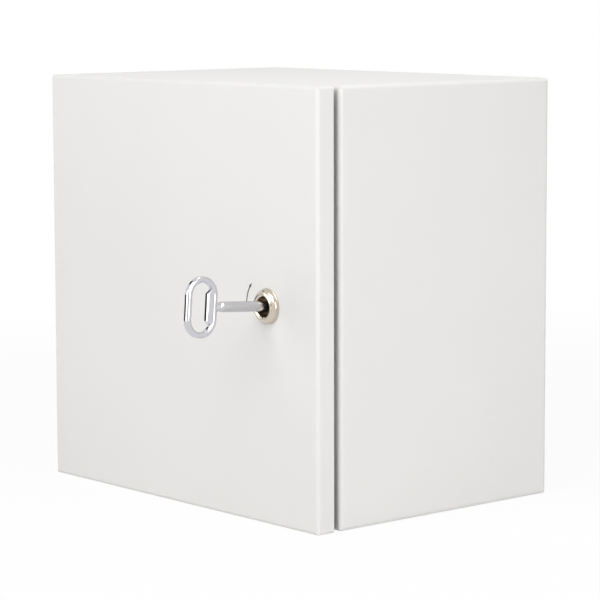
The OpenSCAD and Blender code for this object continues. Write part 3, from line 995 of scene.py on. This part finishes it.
@dataclass
class ThreadedStud:
    """A weld stud with its collar, chamfered tip and rolled thread, standing on z = 0."""

    thread: float
    length: float
    pitch: float
    collar: float = 0.0
    collar_height: float = 0.0

    @property
    def core(self) -> float:
        """Radius at the thread's root."""
        return self.thread / 2 - 0.5 * self.pitch * 0.62

    def mesh(self) -> bmesh.types.BMesh:
        """The stud without its ridge."""
        chamfer = self.thread / 8
        profile = [(0.0, 0.0)]
        if self.collar:
            edge, rise = 0.25 * MM, self.collar_height
            profile += [(self.collar / 2 - edge, 0.0), (self.collar / 2, edge), (self.collar / 2, rise - edge),
                        (self.collar / 2 - edge, rise)]
        else:
            profile += [(self.thread / 2 + 0.4 * MM, 0.0), (self.thread / 2, 0.5 * MM)]
        foot = self.collar_height if self.collar else 0.5 * MM
        profile += [(self.thread / 2, foot), (self.thread / 2, foot + 0.3 * MM), (self.core, foot + 0.6 * MM),
                    (self.core, self.length - chamfer), (self.core - chamfer * 0.7, self.length), (0.0, self.length)]
        return lathe(profile, 32)

    @property
    def ridge(self) -> dict[str, float]:
        """What the thread recipe needs to wind this stud's thread."""
        foot = (self.collar_height if self.collar else 0.5 * MM) + 0.5 * self.pitch
        return {
            "Start": foot,
            "Length": self.length - foot - self.thread / 8 - 0.3 * self.pitch,
            "Radius": self.thread / 2 - 0.5 * self.pitch,
            "Pitch": self.pitch,
        }


@dataclass
class FlatScrew:
    """A countersunk screw with a hexagon socket; its head lies on z = 0 and it points up."""

    thread: float
    length: float
    socket: float

    def mesh(self) -> bmesh.types.BMesh:
        """Socket, head and chamfered shank."""
        core = self.thread / 2 - 0.2 * MM
        head = self.thread - 0.1 * MM
        rows: list[tuple[Radius, float]] = [
            (0.0, self.thread * 0.36), (self.socket * 0.3, self.thread * 0.3),
            (hexagon(self.socket), self.thread * 0.3), (hexagon(self.socket), 0.12 * MM),
            (hexagon(self.socket + 0.2 * MM), 0.0), (head - 0.12 * MM, 0.0), (head, 0.1 * MM), (head, 0.28 * MM),
            (core, self.thread / 2 + 0.2 * MM), (core, self.length - 0.4 * MM), (core - 0.4 * MM, self.length),
            (0.0, self.length),
        ]
        return loft([ring(r, h, 36) for r, h in rows])


@dataclass
class Fasteners:
    """All the nuts, studs, washers, pins and screws, repeated by Geometry Nodes."""

    panel_thread: float = 8 * MM
    gland_thread: float = 5 * MM
    earth_thread: float = 6 * MM
    hinge_thread: float = 4 * MM
    panel_collar: float = 10 * MM
    earth_collar: float = 2 * MM
    washer_bore: float = 8.4 * MM
    gland_flats: float = 8 * MM
    earth_flats: float = 9.6 * MM
    hinge_flats: float = 7 * MM
    hinge_socket: float = 2.5 * MM
    repeat: Recipe = field(default_factory=repeat_recipe)
    wind: Recipe = field(default_factory=thread_recipe)
    seed: int = 7

    def _seats(self, node: str, facing: Facing) -> list[Vector]:
        """Where each solid of a node meets its seat."""
        return [box.middle - facing.value * (abs(box.size.dot(facing.value)) / 2) for box in solids(node)]

    def _lay(self, node: str, template: bmesh.types.BMesh, finish: Finish, facing: Facing, body: Body,
             slot: Slot, spin: float, ridge: dict[str, float] | None = None) -> None:
        """Repeats a template at every solid of a CAD node and lets it stand for the node.

        Args:
            node: The CAD node.
            template: The fastener, standing on z = 0.
            finish: Its finish.
            facing: The way it points.
            body: The body that carries it.
            slot: The record's material slot.
            spin: Most that each one is turned about its axis, in radians.
            ridge: The thread's sizes, if it has one.
        """
        pattern = make_piece(node + "_pattern", template, finish)
        recipe = self.wind if ridge else self.repeat
        piece = recipe.cook(
            node.replace("_", "-") + "-detailed", self._seats(node, facing), Template=pattern,
            Facing=facing.value, Spin=spin, Seed=self.seed, Finish=finish.material(), **(ridge or {}),
        )
        bpy.data.objects.remove(pattern)
        settle(piece, body, slot, node)

    def build(self) -> None:
        """Makes every fastener of the enclosure."""
        def size(node: str) -> Vector:
            """The size of one solid of a node."""
            return solids(node)[0].size

        full = math.tau / 6
        door, shell = Body.DOOR, Body.ENCLOSURE
        front, back, up = Facing.FRONT, Facing.BACK, Facing.UP
        panel, earth = size("panel_studs"), size("body_earth_stud")
        washer, pins = size("panel_washers"), size("hinge_pins")
        panel_stud = ThreadedStud(self.panel_thread, panel.y, 1.25 * MM, panel.x, self.panel_collar)
        gland_stud = ThreadedStud(self.gland_thread, size("gland_studs").z, 0.8 * MM)
        earth_stud = ThreadedStud(self.earth_thread, earth.z, 1.0 * MM, earth.x, self.earth_collar)
        hinge_stud = ThreadedStud(self.hinge_thread, size("hinge_door_studs").y, 0.7 * MM)
        panel_nut = HexNut(
            self.panel_thread, size("panel_nuts").x * math.cos(math.radians(30)), size("panel_nuts").y)
        gland_nut = HexNut(self.gland_thread, self.gland_flats, size("gland_nuts").z, size("gland_nuts").x)
        earth_nut = HexNut(
            self.earth_thread, self.earth_flats, size("body_earth_nut").z, size("body_earth_nut").x)
        hinge_nut = HexNut(self.hinge_thread, self.hinge_flats, size("hinge_screw_nuts").y)
        screw = FlatScrew(self.hinge_thread, size("hinge_screws").y, self.hinge_socket)

        for node, template, finish, facing, body, spin, ridge in (
            ("panel_studs", panel_stud.mesh(), ZINC, front, shell, full, panel_stud.ridge),
            ("panel_nuts", panel_nut.mesh(), ZINC, front, shell, full, None),
            ("panel_washers", self._washer(washer.x, self.washer_bore, washer.y), ZINC, front, shell, full, None),
            ("gland_studs", gland_stud.mesh(), ZINC, up, shell, full, gland_stud.ridge),
            ("gland_nuts", gland_nut.mesh(), ZINC, up, shell, full, None),
            ("body_earth_stud", earth_stud.mesh(), BRASS, up, shell, full, earth_stud.ridge),
            ("door_earth_stud", earth_stud.mesh(), BRASS, back, door, full, earth_stud.ridge),
            ("body_earth_nut", earth_nut.mesh(), ZINC, up, shell, full, None),
            ("door_earth_nut", earth_nut.mesh(), ZINC, back, door, full, None),
            ("hinge_screws", screw.mesh(), ZINC, back, shell, full, None),
            ("hinge_door_studs", hinge_stud.mesh(), ZINC, back, door, full, hinge_stud.ridge),
            ("hinge_screw_nuts", hinge_nut.mesh(), ZINC, back, shell, 0.0, None),
            ("hinge_door_nuts", hinge_nut.mesh(), ZINC, back, door, 0.0, None),
            ("hinge_pins", self._pin(pins), STEEL, up, shell, 0.0, None),
        ):
            slot = Slot.BRASS if finish is BRASS else Slot.ZINC
            self._lay(node, template, finish, facing, body, slot, spin, ridge)

    @staticmethod
    def _washer(outer: float, inner: float, height: float) -> bmesh.types.BMesh:
        """A stamped washer: one edge rounded by the die, the other crisp."""
        edge = height / 4
        return lathe([
            (inner / 2, 0.0), (inner / 2, height - edge / 2), (inner / 2 + edge / 2, height),
            (outer / 2 - edge, height), (outer / 2 - edge * 0.3, height - edge * 0.3), (outer / 2, height - edge),
            (outer / 2, 0.0),
        ], 48, closed=True)

    @staticmethod
    def _pin(size: Vector) -> bmesh.types.BMesh:
        """A hinge pin with a low domed head on top and an eased lower end."""
        head, shank, length = size.x / 2, 2 * MM, size.z
        dome = [(head * math.cos(math.radians(a)), length - 0.7 * MM + 0.7 * MM * math.sin(math.radians(a)))
                for a in range(0, 90, 15)]
        return lathe([(0.0, 0.0), (shank - 0.4 * MM, 0.0), (shank, 0.4 * MM), (shank, length - 1 * MM),
                      (head, length - 1 * MM)] + dome + [(0.0, length)], 40)


# ---------------------------------------------------------------- sheet metal


@dataclass
class Housing:
    """The folded body, its gland plate and the mounting panel inside."""

    seal_width: float = 12 * MM
    seal_corner: float = 8 * MM

    def build(self) -> None:
        """Dresses the sheets and makes the gland plate's seal."""
        dress(PAINT, "body_shell", "gland_plate")
        dress(PANEL_ZINC, "mounting_panel")
        self._gland_seal()

    def _gland_seal(self) -> None:
        """A flat rubber frame squeezed out a little at its edges."""
        low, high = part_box("gland_seal")
        size = high - low
        middle = (low + high) / 2
        bulge = 0.35 * MM
        half = self.seal_width / 2
        section = [(-half, 0.0), (-half - bulge, size.z / 2), (-half, size.z), (half, size.z),
                   (half + bulge, size.z / 2), (half, 0.0)]
        rows = []
        path = path_stations(size.x - self.seal_width, size.y - self.seal_width, self.seal_corner, 8, 20 * MM)
        for point, outwards in path:
            rows.append([Vector((*(point + outwards * u), v)) for u, v in section])
        place = Matrix.Translation((middle.x, middle.y, low.z))
        piece = make_piece("gland_seal_frame", loft(rows, closed=True), RUBBER, place, sharp=60.0)
        settle(piece, Body.ENCLOSURE, Slot.FOAM, "gland_seal")


@dataclass
class Door:
    """The door pan with its poured seal, and the printed arc beside the lock."""

    seal_width: float = 12 * MM
    seal_corner: float = 10.75 * MM
    arc_radius: float = 22 * MM
    arc_width: float = 0.95 * MM
    arc_start: float = 184.0
    arc_end: float = 147.0
    head_length: float = 3.4 * MM
    head_width: float = 2.2 * MM
    ink_height: float = 0.03 * MM

    def build(self) -> None:
        """Dresses the pan and makes the seal and the print."""
        dress(PAINT, "door_panel")
        self._seal()
        self._turn_arrow()

    def _seal(self) -> None:
        """A foam bead whose height and edges wander a little, with a soft hump where its ends meet."""
        low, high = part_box("door_seal")
        size = high - low
        rise = size.y
        steps = 14
        rows = []
        path = path_stations(size.x - self.seal_width, size.z - self.seal_width, self.seal_corner, 12, 3 * MM)
        for point, outwards in path:
            sway = noise.noise(Vector((point.x * 60, point.y * 60, 0.0)))
            swell = noise.noise(Vector((point.x * 25, point.y * 25, 4.0)))
            hump = math.exp(-((point.x - 0.02) ** 2) / (5 * MM) ** 2) if point.y < -size.z * 0.4 else 0.0
            half = self.seal_width / 2 * (0.96 + 0.03 * sway + 0.02 * hump)
            top = rise * (0.965 + 0.03 * swell + 0.02 * hump)
            section = [(half * math.cos(math.pi * i / steps), top * math.sin(math.pi * i / steps) ** 0.8)
                       for i in range(steps + 1)]
            rows.append([Vector((*(point + outwards * (u + 0.2 * MM * sway)), -v)) for u, v in section])
        middle = (low + high) / 2
        piece = make_piece("door_seal_bead", loft(rows, closed=True), FOAM, forwards((middle.x, low.y, middle.z)))
        settle(piece, Body.DOOR, Slot.FOAM, "door_seal")

    def _turn_arrow(self) -> None:
        """A thin printed arc round the lock, with an arrow head at its upper end."""
        lock = Lock.place()
        inner, outer = self.arc_radius - self.arc_width / 2, self.arc_radius + self.arc_width / 2
        shaft = arc((0, 0), outer, self.arc_start, self.arc_end, 24) + arc(
            (0, 0), inner, self.arc_end, self.arc_start, 24)
        end = math.radians(self.arc_end)
        spoke = Vector((math.cos(end), math.sin(end)))
        along = Vector((spoke.y, -spoke.x))
        tip = spoke * self.arc_radius * 0.99 + along * self.head_length
        barbs = [spoke * (self.arc_radius + side * self.head_width / 2) - along * 0.2 * MM for side in (1, -1)]
        head = [tuple(barbs[0]), tuple(tip), tuple(barbs[1])]
        films = [prism([(x, y, 0.0) for x, y in outline], (0, 0, self.ink_height)) for outline in (shaft, head)]
        piece = make_piece("printed_turn_arrow", joined(films), INK, forwards(lock))
        settle(piece, Body.DOOR, None)


@dataclass
class Hinges:
    """The two concealed hinges' leaves."""

    def build(self) -> None:
        """Dresses both pairs of leaves."""
        dress(ZINC, "hinge_body_leaves", "hinge_door_leaves")


# ----------------------------------------------------------------------- lock


@dataclass
class Lock:
    """The cam lock: domed barrel, turning core, seal, nut, cam, washer and screw."""

    bezel: float = 24.5 * MM
    bezel_height: float = 4.9 * MM
    groove: float = 11.5 * MM
    groove_depth: float = 0.55 * MM
    lip: float = 17.0 * MM
    mouth: float = 15.6 * MM
    recess: float = 14.0 * MM
    recess_depth: float = 8.0 * MM
    barrel: float = 20.0 * MM
    flats: float = 18.0 * MM
    pitch: float = 1.5 * MM
    head_height: float = 2.95 * MM
    shank: float = 9.0 * MM
    post: float = 3.8 * MM
    bits: tuple[float, float, float] = (1.8 * MM, 6.4 * MM, 6.0 * MM)
    square: float = 7.8 * MM
    screw_flats: float = 8.0 * MM

    @staticmethod
    def place() -> Vector:
        """Where the lock's axis meets the door's face."""
        joint = next(j for j in frame["joints"] if j["name"] == "lock_turn")
        return Vector(joint["pos_m"])

    def build(self) -> None:
        """Makes the lock's pieces."""
        self._barrel()
        self._core()
        self._seal()
        self._nut()
        self._screw()
        dress(ZINC, "lock_cam", "cam_washer")

    def _barrel(self) -> None:
        """Domed bezel with its lip, chamfered mouth and recess; threaded body with two flats."""
        rear = -(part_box("lock_barrel")[1].y - self.place().y)
        shoulder = -self.recess_depth - self.head_height - 0.05 * MM
        rim, lip = self.bezel / 2, self.lip / 2
        bore = self.shank / 2 + 0.05 * MM
        root = self.barrel / 2 - 0.35 * MM
        half_flat = self.flats / 2
        top = self.bezel_height

        def cut(radius: float) -> Callable[[float], float]:
            """A circle with a flat above and below."""
            return lambda a: min(radius, half_flat / max(abs(math.sin(a)), 1e-6))

        rows: list[tuple[Radius, float]] = [
            (bore, rear), (bore, shoulder), (self.recess / 2, shoulder), (self.recess / 2, top - 0.8 * MM),
            (self.mouth / 2 - 0.1 * MM, top - 0.12 * MM), (self.mouth / 2 + 0.08 * MM, top),
            (lip - 0.25 * MM, top), (lip, top - 0.2 * MM), (lip + 0.05 * MM, top - 0.32 * MM),
        ]
        dome_rise = top - 0.35 * MM - 0.95 * MM
        dome_run = rim - 0.35 * MM - lip - 0.05 * MM
        for i in range(1, 17):
            a = math.radians(88 - 88 * i / 16)
            rows.append((lip + 0.05 * MM + dome_run * math.cos(a), 0.95 * MM + dome_rise * math.sin(a)))
        rows += [(rim - 0.12 * MM, 0.86 * MM), (rim, 0.72 * MM), (rim, 0.12 * MM), (rim - 0.12 * MM, 0.0),
                 (self.groove, 0.0), (self.groove, self.groove_depth), (self.barrel / 2, self.groove_depth)]
        stroke = int((-rear - 1.2 * MM) / self.pitch * 4)
        threads = [cut(self.barrel / 2 if step % 4 in (0, 1) else root) for step in range(stroke)]
        rows += [(cut(self.barrel / 2), -0.1 * MM)]
        rows += [(shape, -0.6 * MM - step * self.pitch / 4) for step, shape in enumerate(threads)]
        rows += [(cut(root), rear + 0.4 * MM), (cut(root - 0.4 * MM), rear)]
        mesh = loft([ring(r, h, 96) for r, h in rows], closed=True)
        piece = make_piece("lock_barrel_turned", mesh, BEZEL_NICKEL, forwards(self.place()), sharp=38.0)
        settle(piece, Body.DOOR, Slot.CHROME, "lock_barrel")

    def _core(self) -> None:
        """Turned head, shank and square with the double-bit post that the key fits."""
        clear = 0.05 * MM
        head = self.recess / 2 - clear
        front, back = -self.recess_depth, -self.recess_depth - self.head_height
        rear = -(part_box("lock_core")[1].y - self.place().y)
        shank_end = -(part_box("lock_cam")[0].y - self.place().y)
        turned = lathe([
            (0.0, front), (self.post / 2 + 1.4 * MM, front), (self.post / 2 + 1.7 * MM, front - 0.3 * MM),
            (head - 0.9 * MM, front - 0.3 * MM), (head - 0.7 * MM, front), (head - 0.2 * MM, front),
            (head, front - 0.2 * MM), (head, back), (self.shank / 2, back), (self.shank / 2, shank_end),
            (0.0, shank_end),
        ], 72)
        post_top = front + self.bits[2] + 1 * MM
        post = lathe([(0.0, front - 1 * MM), (self.post / 2, front - 1 * MM), (self.post / 2, post_top - 0.6 * MM),
                      (self.post / 2 - 0.25 * MM, post_top - 0.2 * MM), (self.post / 2 - 0.7 * MM, post_top),
                      (0.0, post_top)], 40)
        wide, span, length = self.bits
        bit = block((-wide / 2, -span / 2, front - 1 * MM), (wide / 2, span / 2, front + length), 0.2 * MM)
        half = self.square / 2
        drive = block((-half, -half, rear), (half, half, shank_end + 1 * MM), 0.3 * MM)
        mesh = joined([turned, post, bit, drive])
        piece = make_piece("lock_core_turned", mesh, DARK_ZINC, forwards(self.place()))
        settle(piece, Body.CORE, Slot.DIE_CAST, "lock_core")

    def _seal(self) -> None:
        """Rubber ring in the bezel's groove."""
        outer, inner, height = 11.4 * MM, 10.1 * MM, 0.55 * MM
        profile = [(inner, 0.0), (inner, height - 0.1 * MM), (inner + 0.12 * MM, height), (outer - 0.12 * MM, height),
                   (outer, height - 0.1 * MM), (outer, 0.0)]
        piece = make_piece("lock_seal_ring", lathe(profile, 64, closed=True), RUBBER, forwards(self.place()))
        settle(piece, Body.DOOR, Slot.FOAM, "lock_seal")

    def _nut(self) -> None:
        """Wide hexagon nut that clamps the barrel to the door."""
        low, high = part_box("lock_nut")
        height = high.y - low.y
        nut = HexNut(self.barrel - 0.4 * MM, high.z - low.z, height, segments=72)
        place = forwards((self.place().x, high.y, self.place().z))
        piece = make_piece("lock_nut_chamfered", nut.mesh(), ZINC, place)
        settle(piece, Body.DOOR, Slot.ZINC, "lock_nut")

    def _screw(self) -> None:
        """Hexagon-head screw that holds the cam, with its washer face and a slight dish on top."""
        low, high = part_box("cam_screw")
        seat = -(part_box("cam_washer")[1].y - self.place().y)
        tip = -(low.y - self.place().y)
        top = -(high.y - self.place().y)
        radius = hexagon(self.screw_flats)
        crown = self.screw_flats / 2 * 0.96
        slope = math.tan(math.radians(30))
        rows: list[tuple[Radius, Radius]] = [
            (0.0, top + 0.25 * MM), (crown * 0.72, top + 0.2 * MM), (crown * 0.8, top), (crown, top),
            (radius, lambda a: top + max(0.0, radius(a) - crown) * slope), (radius, seat - 0.3 * MM),
            (self.screw_flats / 2 * 0.98, seat - 0.3 * MM), (self.screw_flats / 2 * 0.98, seat),
            (2.4 * MM, seat), (2.4 * MM, tip - 0.5 * MM), (1.9 * MM, tip), (0.0, tip),
        ]
        mesh = loft([ring(r, h, 48) for r, h in rows])
        piece = make_piece("cam_screw_hexagon", mesh, ZINC, forwards(self.place()))
        settle(piece, Body.CORE, Slot.ZINC, "cam_screw")


@dataclass
class Key:
    """The double-bit key: slotted tube, neck, web and oval ring, leaning a little in its loose socket."""

    pivot_depth: float = 4.0 * MM
    tip: float = -7.2 * MM
    shaft: float = 7.1 * MM
    bore: float = 5.0 * MM
    slot_width: float = 2.6 * MM
    slot_length: float = 6.0 * MM
    shaft_end: float = 41.8 * MM
    neck: float = 5.0 * MM
    bow_start: float = 45.2 * MM
    bow_width: float = 25.4 * MM
    bow_height: float = 41.2 * MM
    ring_width: float = 4.0 * MM
    ring_depth: float = 5.0 * MM
    ring_edge: float = 1.5 * MM
    web_width: float = 7.8 * MM
    web_depth: float = 4.0 * MM

    def _place(self) -> Matrix:
        """The key's own frame: Z along the shaft to the front, Y up the bow, origin at the door's face."""
        joint = next(j for j in frame["joints"] if j["name"] == "key_pull")
        along = Vector(joint["axis"]).normalized()
        across = Vector((1, 0, 0))
        up = along.cross(across)
        pivot = Lock.place() + Vector((0, self.pivot_depth, 0))
        turn = Matrix((across, up, along)).transposed().to_4x4()
        return Matrix.Translation(pivot + along * self.pivot_depth) @ turn

    def build(self) -> None:
        """Makes the key's pieces."""
        place = self._place()
        self._shaft(place)
        self._web(place)
        self._ring(place)

    def _shaft(self, place: Matrix) -> None:
        """Tube with two slots in its end, and the waisted neck."""
        r, bore, neck = self.shaft / 2, self.bore / 2, self.neck / 2
        end, start = self.shaft_end, self.bow_start
        fillet = [(neck + 1.1 * MM * (1 - math.sin(math.radians(a))), start - 1.2 * MM * math.cos(math.radians(a)))
                  for a in (60, 40, 20)]
        profile = [
            (0.0, self.tip + self.slot_length + 3 * MM), (bore, self.tip + self.slot_length + 1.6 * MM),
            (bore, self.tip + 0.3 * MM), (bore + 0.3 * MM, self.tip), (r - 0.4 * MM, self.tip),
            (r, self.tip + 0.4 * MM), (r, end - 1.1 * MM), (r - 0.15 * MM, end - 0.95 * MM),
            (neck + 0.1 * MM, end - 0.1 * MM), (neck, end + 0.1 * MM), (neck, start - 1.2 * MM),
        ] + fillet + [(neck + 0.6 * MM, start + 1.0 * MM), (0.0, start + 1.0 * MM)]
        tube = make_piece("key_shaft", lathe(profile, 72), KEY_SATIN)
        half = self.slot_width / 2
        cutter = make_piece(
            "slot_cutter",
            block((-half, -self.shaft, self.tip - 2 * MM), (half, self.shaft, self.tip + self.slot_length), 0.3 * MM),
            KEY_SATIN,
        )
        tube = subtract(tube, cutter)
        tube.data.transform(place)
        settle(tube, Body.KEY, Slot.CHROME, "key")

    def _web(self, place: Matrix) -> None:
        """Flat plate between the ring and the neck, with eased edges."""
        half_bow = self.bow_height / 2
        r = self.bow_width / 2
        straight = half_bow - r
        reach = straight + 1.9 * MM
        outline = [
            (0.5 * MM, -straight - 1 * MM), (self.ring_width - 0.4 * MM, -straight - 5.2 * MM),
            (self.web_width - 0.5 * MM, -reach), (self.web_width, -reach + 0.6 * MM),
            (self.web_width, reach - 0.6 * MM), (self.web_width - 0.5 * MM, reach),
            (self.ring_width - 0.4 * MM, straight + 5.2 * MM), (0.5 * MM, straight + 1 * MM),
        ]
        half = self.web_depth / 2
        mesh = prism([(-half, y, self.bow_start + z) for z, y in outline], (self.web_depth, 0, 0))
        flat_edges = [e for e in mesh.edges if abs(e.verts[0].co.x - e.verts[1].co.x) < 1e-9]
        bmesh.ops.bevel(mesh, geom=flat_edges, offset=0.35 * MM, segments=3, profile=0.5, affect="EDGES")
        piece = make_piece("key_web", tidied(mesh), KEY_CHROME, place)
        settle(piece, Body.KEY, Slot.CHROME)

    def _ring(self, place: Matrix) -> None:
        """Oval ring of rounded section."""
        inset = self.ring_width / 2
        path = path_stations(
            self.bow_width - 2 * inset, self.bow_height - 2 * inset, self.bow_width / 2 - inset - 1e-7, 24, 1.5 * MM
        )
        section = rounded_outline(self.ring_width, self.ring_depth, self.ring_edge, 6)
        middle = self.bow_start + self.bow_width / 2
        rows = []
        for point, outwards in path:
            rows.append([
                Vector((v, point.y + outwards.y * u, middle + point.x + outwards.x * u)) for u, v in section
            ])
        piece = make_piece("key_ring", loft(rows, closed=True), KEY_CHROME, place, sharp=50.0)
        settle(piece, Body.KEY, Slot.CHROME)


# --------------------------------------------------------------------- studio


@dataclass(frozen=True)
class Card:
    """A plain card that only mirrors see."""

    name: str
    azimuth: float
    elevation: float
    width: float
    height: float
    grey: float
    distance: float = 1.1


@dataclass(frozen=True)
class Lamp:
    """A soft square lamp, aimed at the enclosure."""

    name: str
    azimuth: float
    elevation: float
    distance: float
    size: float
    power: float


def direction(azimuth: float, elevation: float) -> Vector:
    """The way from the enclosure to a place, azimuth 0 in front and 90 on its right."""
    a, e = math.radians(azimuth), math.radians(elevation)
    return Vector((math.sin(a) * math.cos(e), -math.cos(a) * math.cos(e), math.sin(e)))


@dataclass
class Studio:
    """Camera, soft lamps, pale floor and white surroundings."""

    azimuth: float = 49.22
    elevation: float = 6.51
    roll: float = -0.16
    distance: float = 1.8824
    aside: float = 3.1 * MM
    above: float = 8.0 * MM
    lens: float = 154.06
    shift: float = -0.05
    ambient: float = 0.22
    lamps: tuple[Lamp, ...] = (
        Lamp("key_light", 22, 45, 1.6, 1.3, 18.0),
        Lamp("right_fill", 88, 10, 1.2, 0.7, 5.3),
        Lamp("left_fill", -25, 6, 1.2, 0.6, 2.6),
        Lamp("top_fill", 180, 75, 1.3, 0.6, 4.2),
    )
    cards: tuple[Card, ...] = (
        Card("dark_card_camera", 52, -4, 0.5, 0.26, 0.02, 2.2),
        Card("dark_card_left", -50, -6, 0.5, 0.34, 0.02),
        Card("dark_card_upper_left", -72, 42, 0.4, 0.25, 0.05),
    )

    def build(self) -> None:
        """Sets the stage."""
        scene = bpy.context.scene
        scene.view_settings.view_transform = "Standard"
        low_body, high_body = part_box("body_shell")
        low_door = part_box("door_panel")[0]
        low = Vector(map(min, low_body, low_door))
        self.middle = (low + high_body) / 2
        self._camera(scene)
        self._world(scene)
        self._floor(low.z)
        for lamp in self.lamps:
            self._lamp(lamp)
        for card in self.cards:
            self._card(card)

    def _camera(self, scene: bpy.types.Scene) -> None:
        """A long lens from the front right, a little above."""
        back = direction(self.azimuth, self.elevation)
        right = (-back).cross(Vector((0, 0, 1))).normalized()
        up = right.cross(-back)
        c, s = math.cos(math.radians(self.roll)), math.sin(math.radians(self.roll))
        right, up = right * c + up * s, up * c - right * s
        data = bpy.data.cameras.new("camera")
        data.lens = self.lens
        data.shift_y = self.shift
        data.clip_start, data.clip_end = 0.05, 100.0
        camera = bpy.data.objects.new("camera", data)
        spot = self.middle + right * self.aside + up * self.above + back * self.distance
        camera.matrix_world = Matrix.Translation(spot) @ Matrix((right, up, back)).transposed().to_4x4()
        scene.collection.objects.link(camera)
        scene.camera = camera

    def _white_to_eyes(self, graph: Graph) -> Wire:
        """1 for camera, glossy and transmission rays, 0 for the rest."""
        path = graph.add("ShaderNodeLightPath")
        seen = path["Is Camera Ray"] + path["Is Glossy Ray"] + path["Is Transmission Ray"]
        return graph.add("ShaderNodeClamp", inputs={"Value": seen})["Result"]

    def _world(self, scene: bpy.types.Scene) -> None:
        """White to the eye and to mirrors, a plain pale glow for light."""
        world = bpy.data.worlds.new("surroundings")
        world.use_nodes = True
        graph = Graph(world.node_tree)
        glow = graph.add("ShaderNodeBackground", inputs={"Color": (1, 1, 1, 1), "Strength": self.ambient})
        white = graph.add("ShaderNodeBackground", inputs={"Color": (1, 1, 1, 1), "Strength": 1.0})
        mixed = graph.add(
            "ShaderNodeMixShader",
            inputs={0: self._white_to_eyes(graph), 1: glow["Background"], 2: white["Background"]},
        )
        graph.add("ShaderNodeOutputWorld", inputs={"Surface": mixed["Shader"]})
        scene.world = world

    def _floor(self, height: float) -> None:
        """A wide pale floor that keeps a faint shadow."""
        material = bpy.data.materials.new("floor_white")
        material.use_nodes = True
        graph = Graph(material.node_tree)
        matt = graph.add("ShaderNodeBsdfDiffuse", inputs={"Color": (0.82, 0.82, 0.82, 1)})
        glow = graph.add("ShaderNodeEmission", inputs={"Color": (1, 1, 1, 1), "Strength": 1.0})
        reach = graph.add("ShaderNodeVectorMath", {"operation": "LENGTH"}, {0: graph.place()})["Value"]
        far = graph.add(
            "ShaderNodeMapRange", {"interpolation_type": "SMOOTHSTEP"},
            {"Value": reach, "From Min": 0.35, "From Max": 1.1, "To Min": 0.93, "To Max": 1.0},
        )["Result"]
        share = self._white_to_eyes(graph) * far
        mixed = graph.add("ShaderNodeMixShader", inputs={0: share, 1: matt["BSDF"], 2: glow["Emission"]})
        graph.add("ShaderNodeOutputMaterial", inputs={"Surface": mixed["Shader"]})
        mesh = bmesh.new()
        bmesh.ops.create_circle(mesh, cap_ends=True, segments=96, radius=20.0)
        data = bpy.data.meshes.new("floor")
        mesh.to_mesh(data)
        mesh.free()
        data.materials.append(material)
        floor = bpy.data.objects.new("floor", data)
        floor.location.z = height - 0.2 * MM
        bpy.context.scene.collection.objects.link(floor)

    def _aimed(self, name: str, data: bpy.types.ID, azimuth: float, elevation: float,
               distance: float) -> bpy.types.Object:
        """Hangs something round the enclosure, facing it."""
        back = direction(azimuth, elevation)
        thing = bpy.data.objects.new(name, data)
        thing.rotation_mode = "QUATERNION"
        thing.rotation_quaternion = (-back).to_track_quat("-Z", "Y")
        thing.location = self.middle + back * distance
        bpy.context.scene.collection.objects.link(thing)
        return thing

    def _lamp(self, lamp: Lamp) -> None:
        """Adds one soft lamp."""
        data = bpy.data.lights.new(lamp.name, "AREA")
        data.shape = "SQUARE"
        data.size = lamp.size
        data.energy = lamp.power
        self._aimed(lamp.name, data, lamp.azimuth, lamp.elevation, lamp.distance)

    def _card(self, card: Card) -> None:
        """Adds one card that shows in reflections alone."""
        material = bpy.data.materials.new(card.name)
        material.use_nodes = True
        graph = Graph(material.node_tree)
        glow = graph.add("ShaderNodeEmission", inputs={"Color": (card.grey,) * 3 + (1,), "Strength": 1.0})
        graph.add("ShaderNodeOutputMaterial", inputs={"Surface": glow["Emission"]})
        half_w, half_h = card.width / 2, card.height / 2
        data = bpy.data.meshes.new(card.name)
        corners = [(-half_w, -half_h, 0), (half_w, -half_h, 0), (half_w, half_h, 0), (-half_w, half_h, 0)]
        data.from_pydata(corners, [], [(0, 1, 2, 3)])
        data.materials.append(material)
        thing = self._aimed(card.name, data, card.azimuth, card.elevation, card.distance)
        thing.visible_camera = False
        thing.visible_diffuse = False
        thing.visible_shadow = False
        thing.visible_transmission = False


def main() -> None:
    """Dresses the enclosure, sub-assembly by sub-assembly, and sets the studio."""
    logging.basicConfig(level=logging.INFO, format="%(name)s: %(message)s")
    for assembly in (Housing(), Door(), Hinges(), Lock(), Key(), Fasteners(), Studio()):
        log.info("%s", type(assembly).__name__)
        assembly.build()


if __name__ == "__main__":
    main()
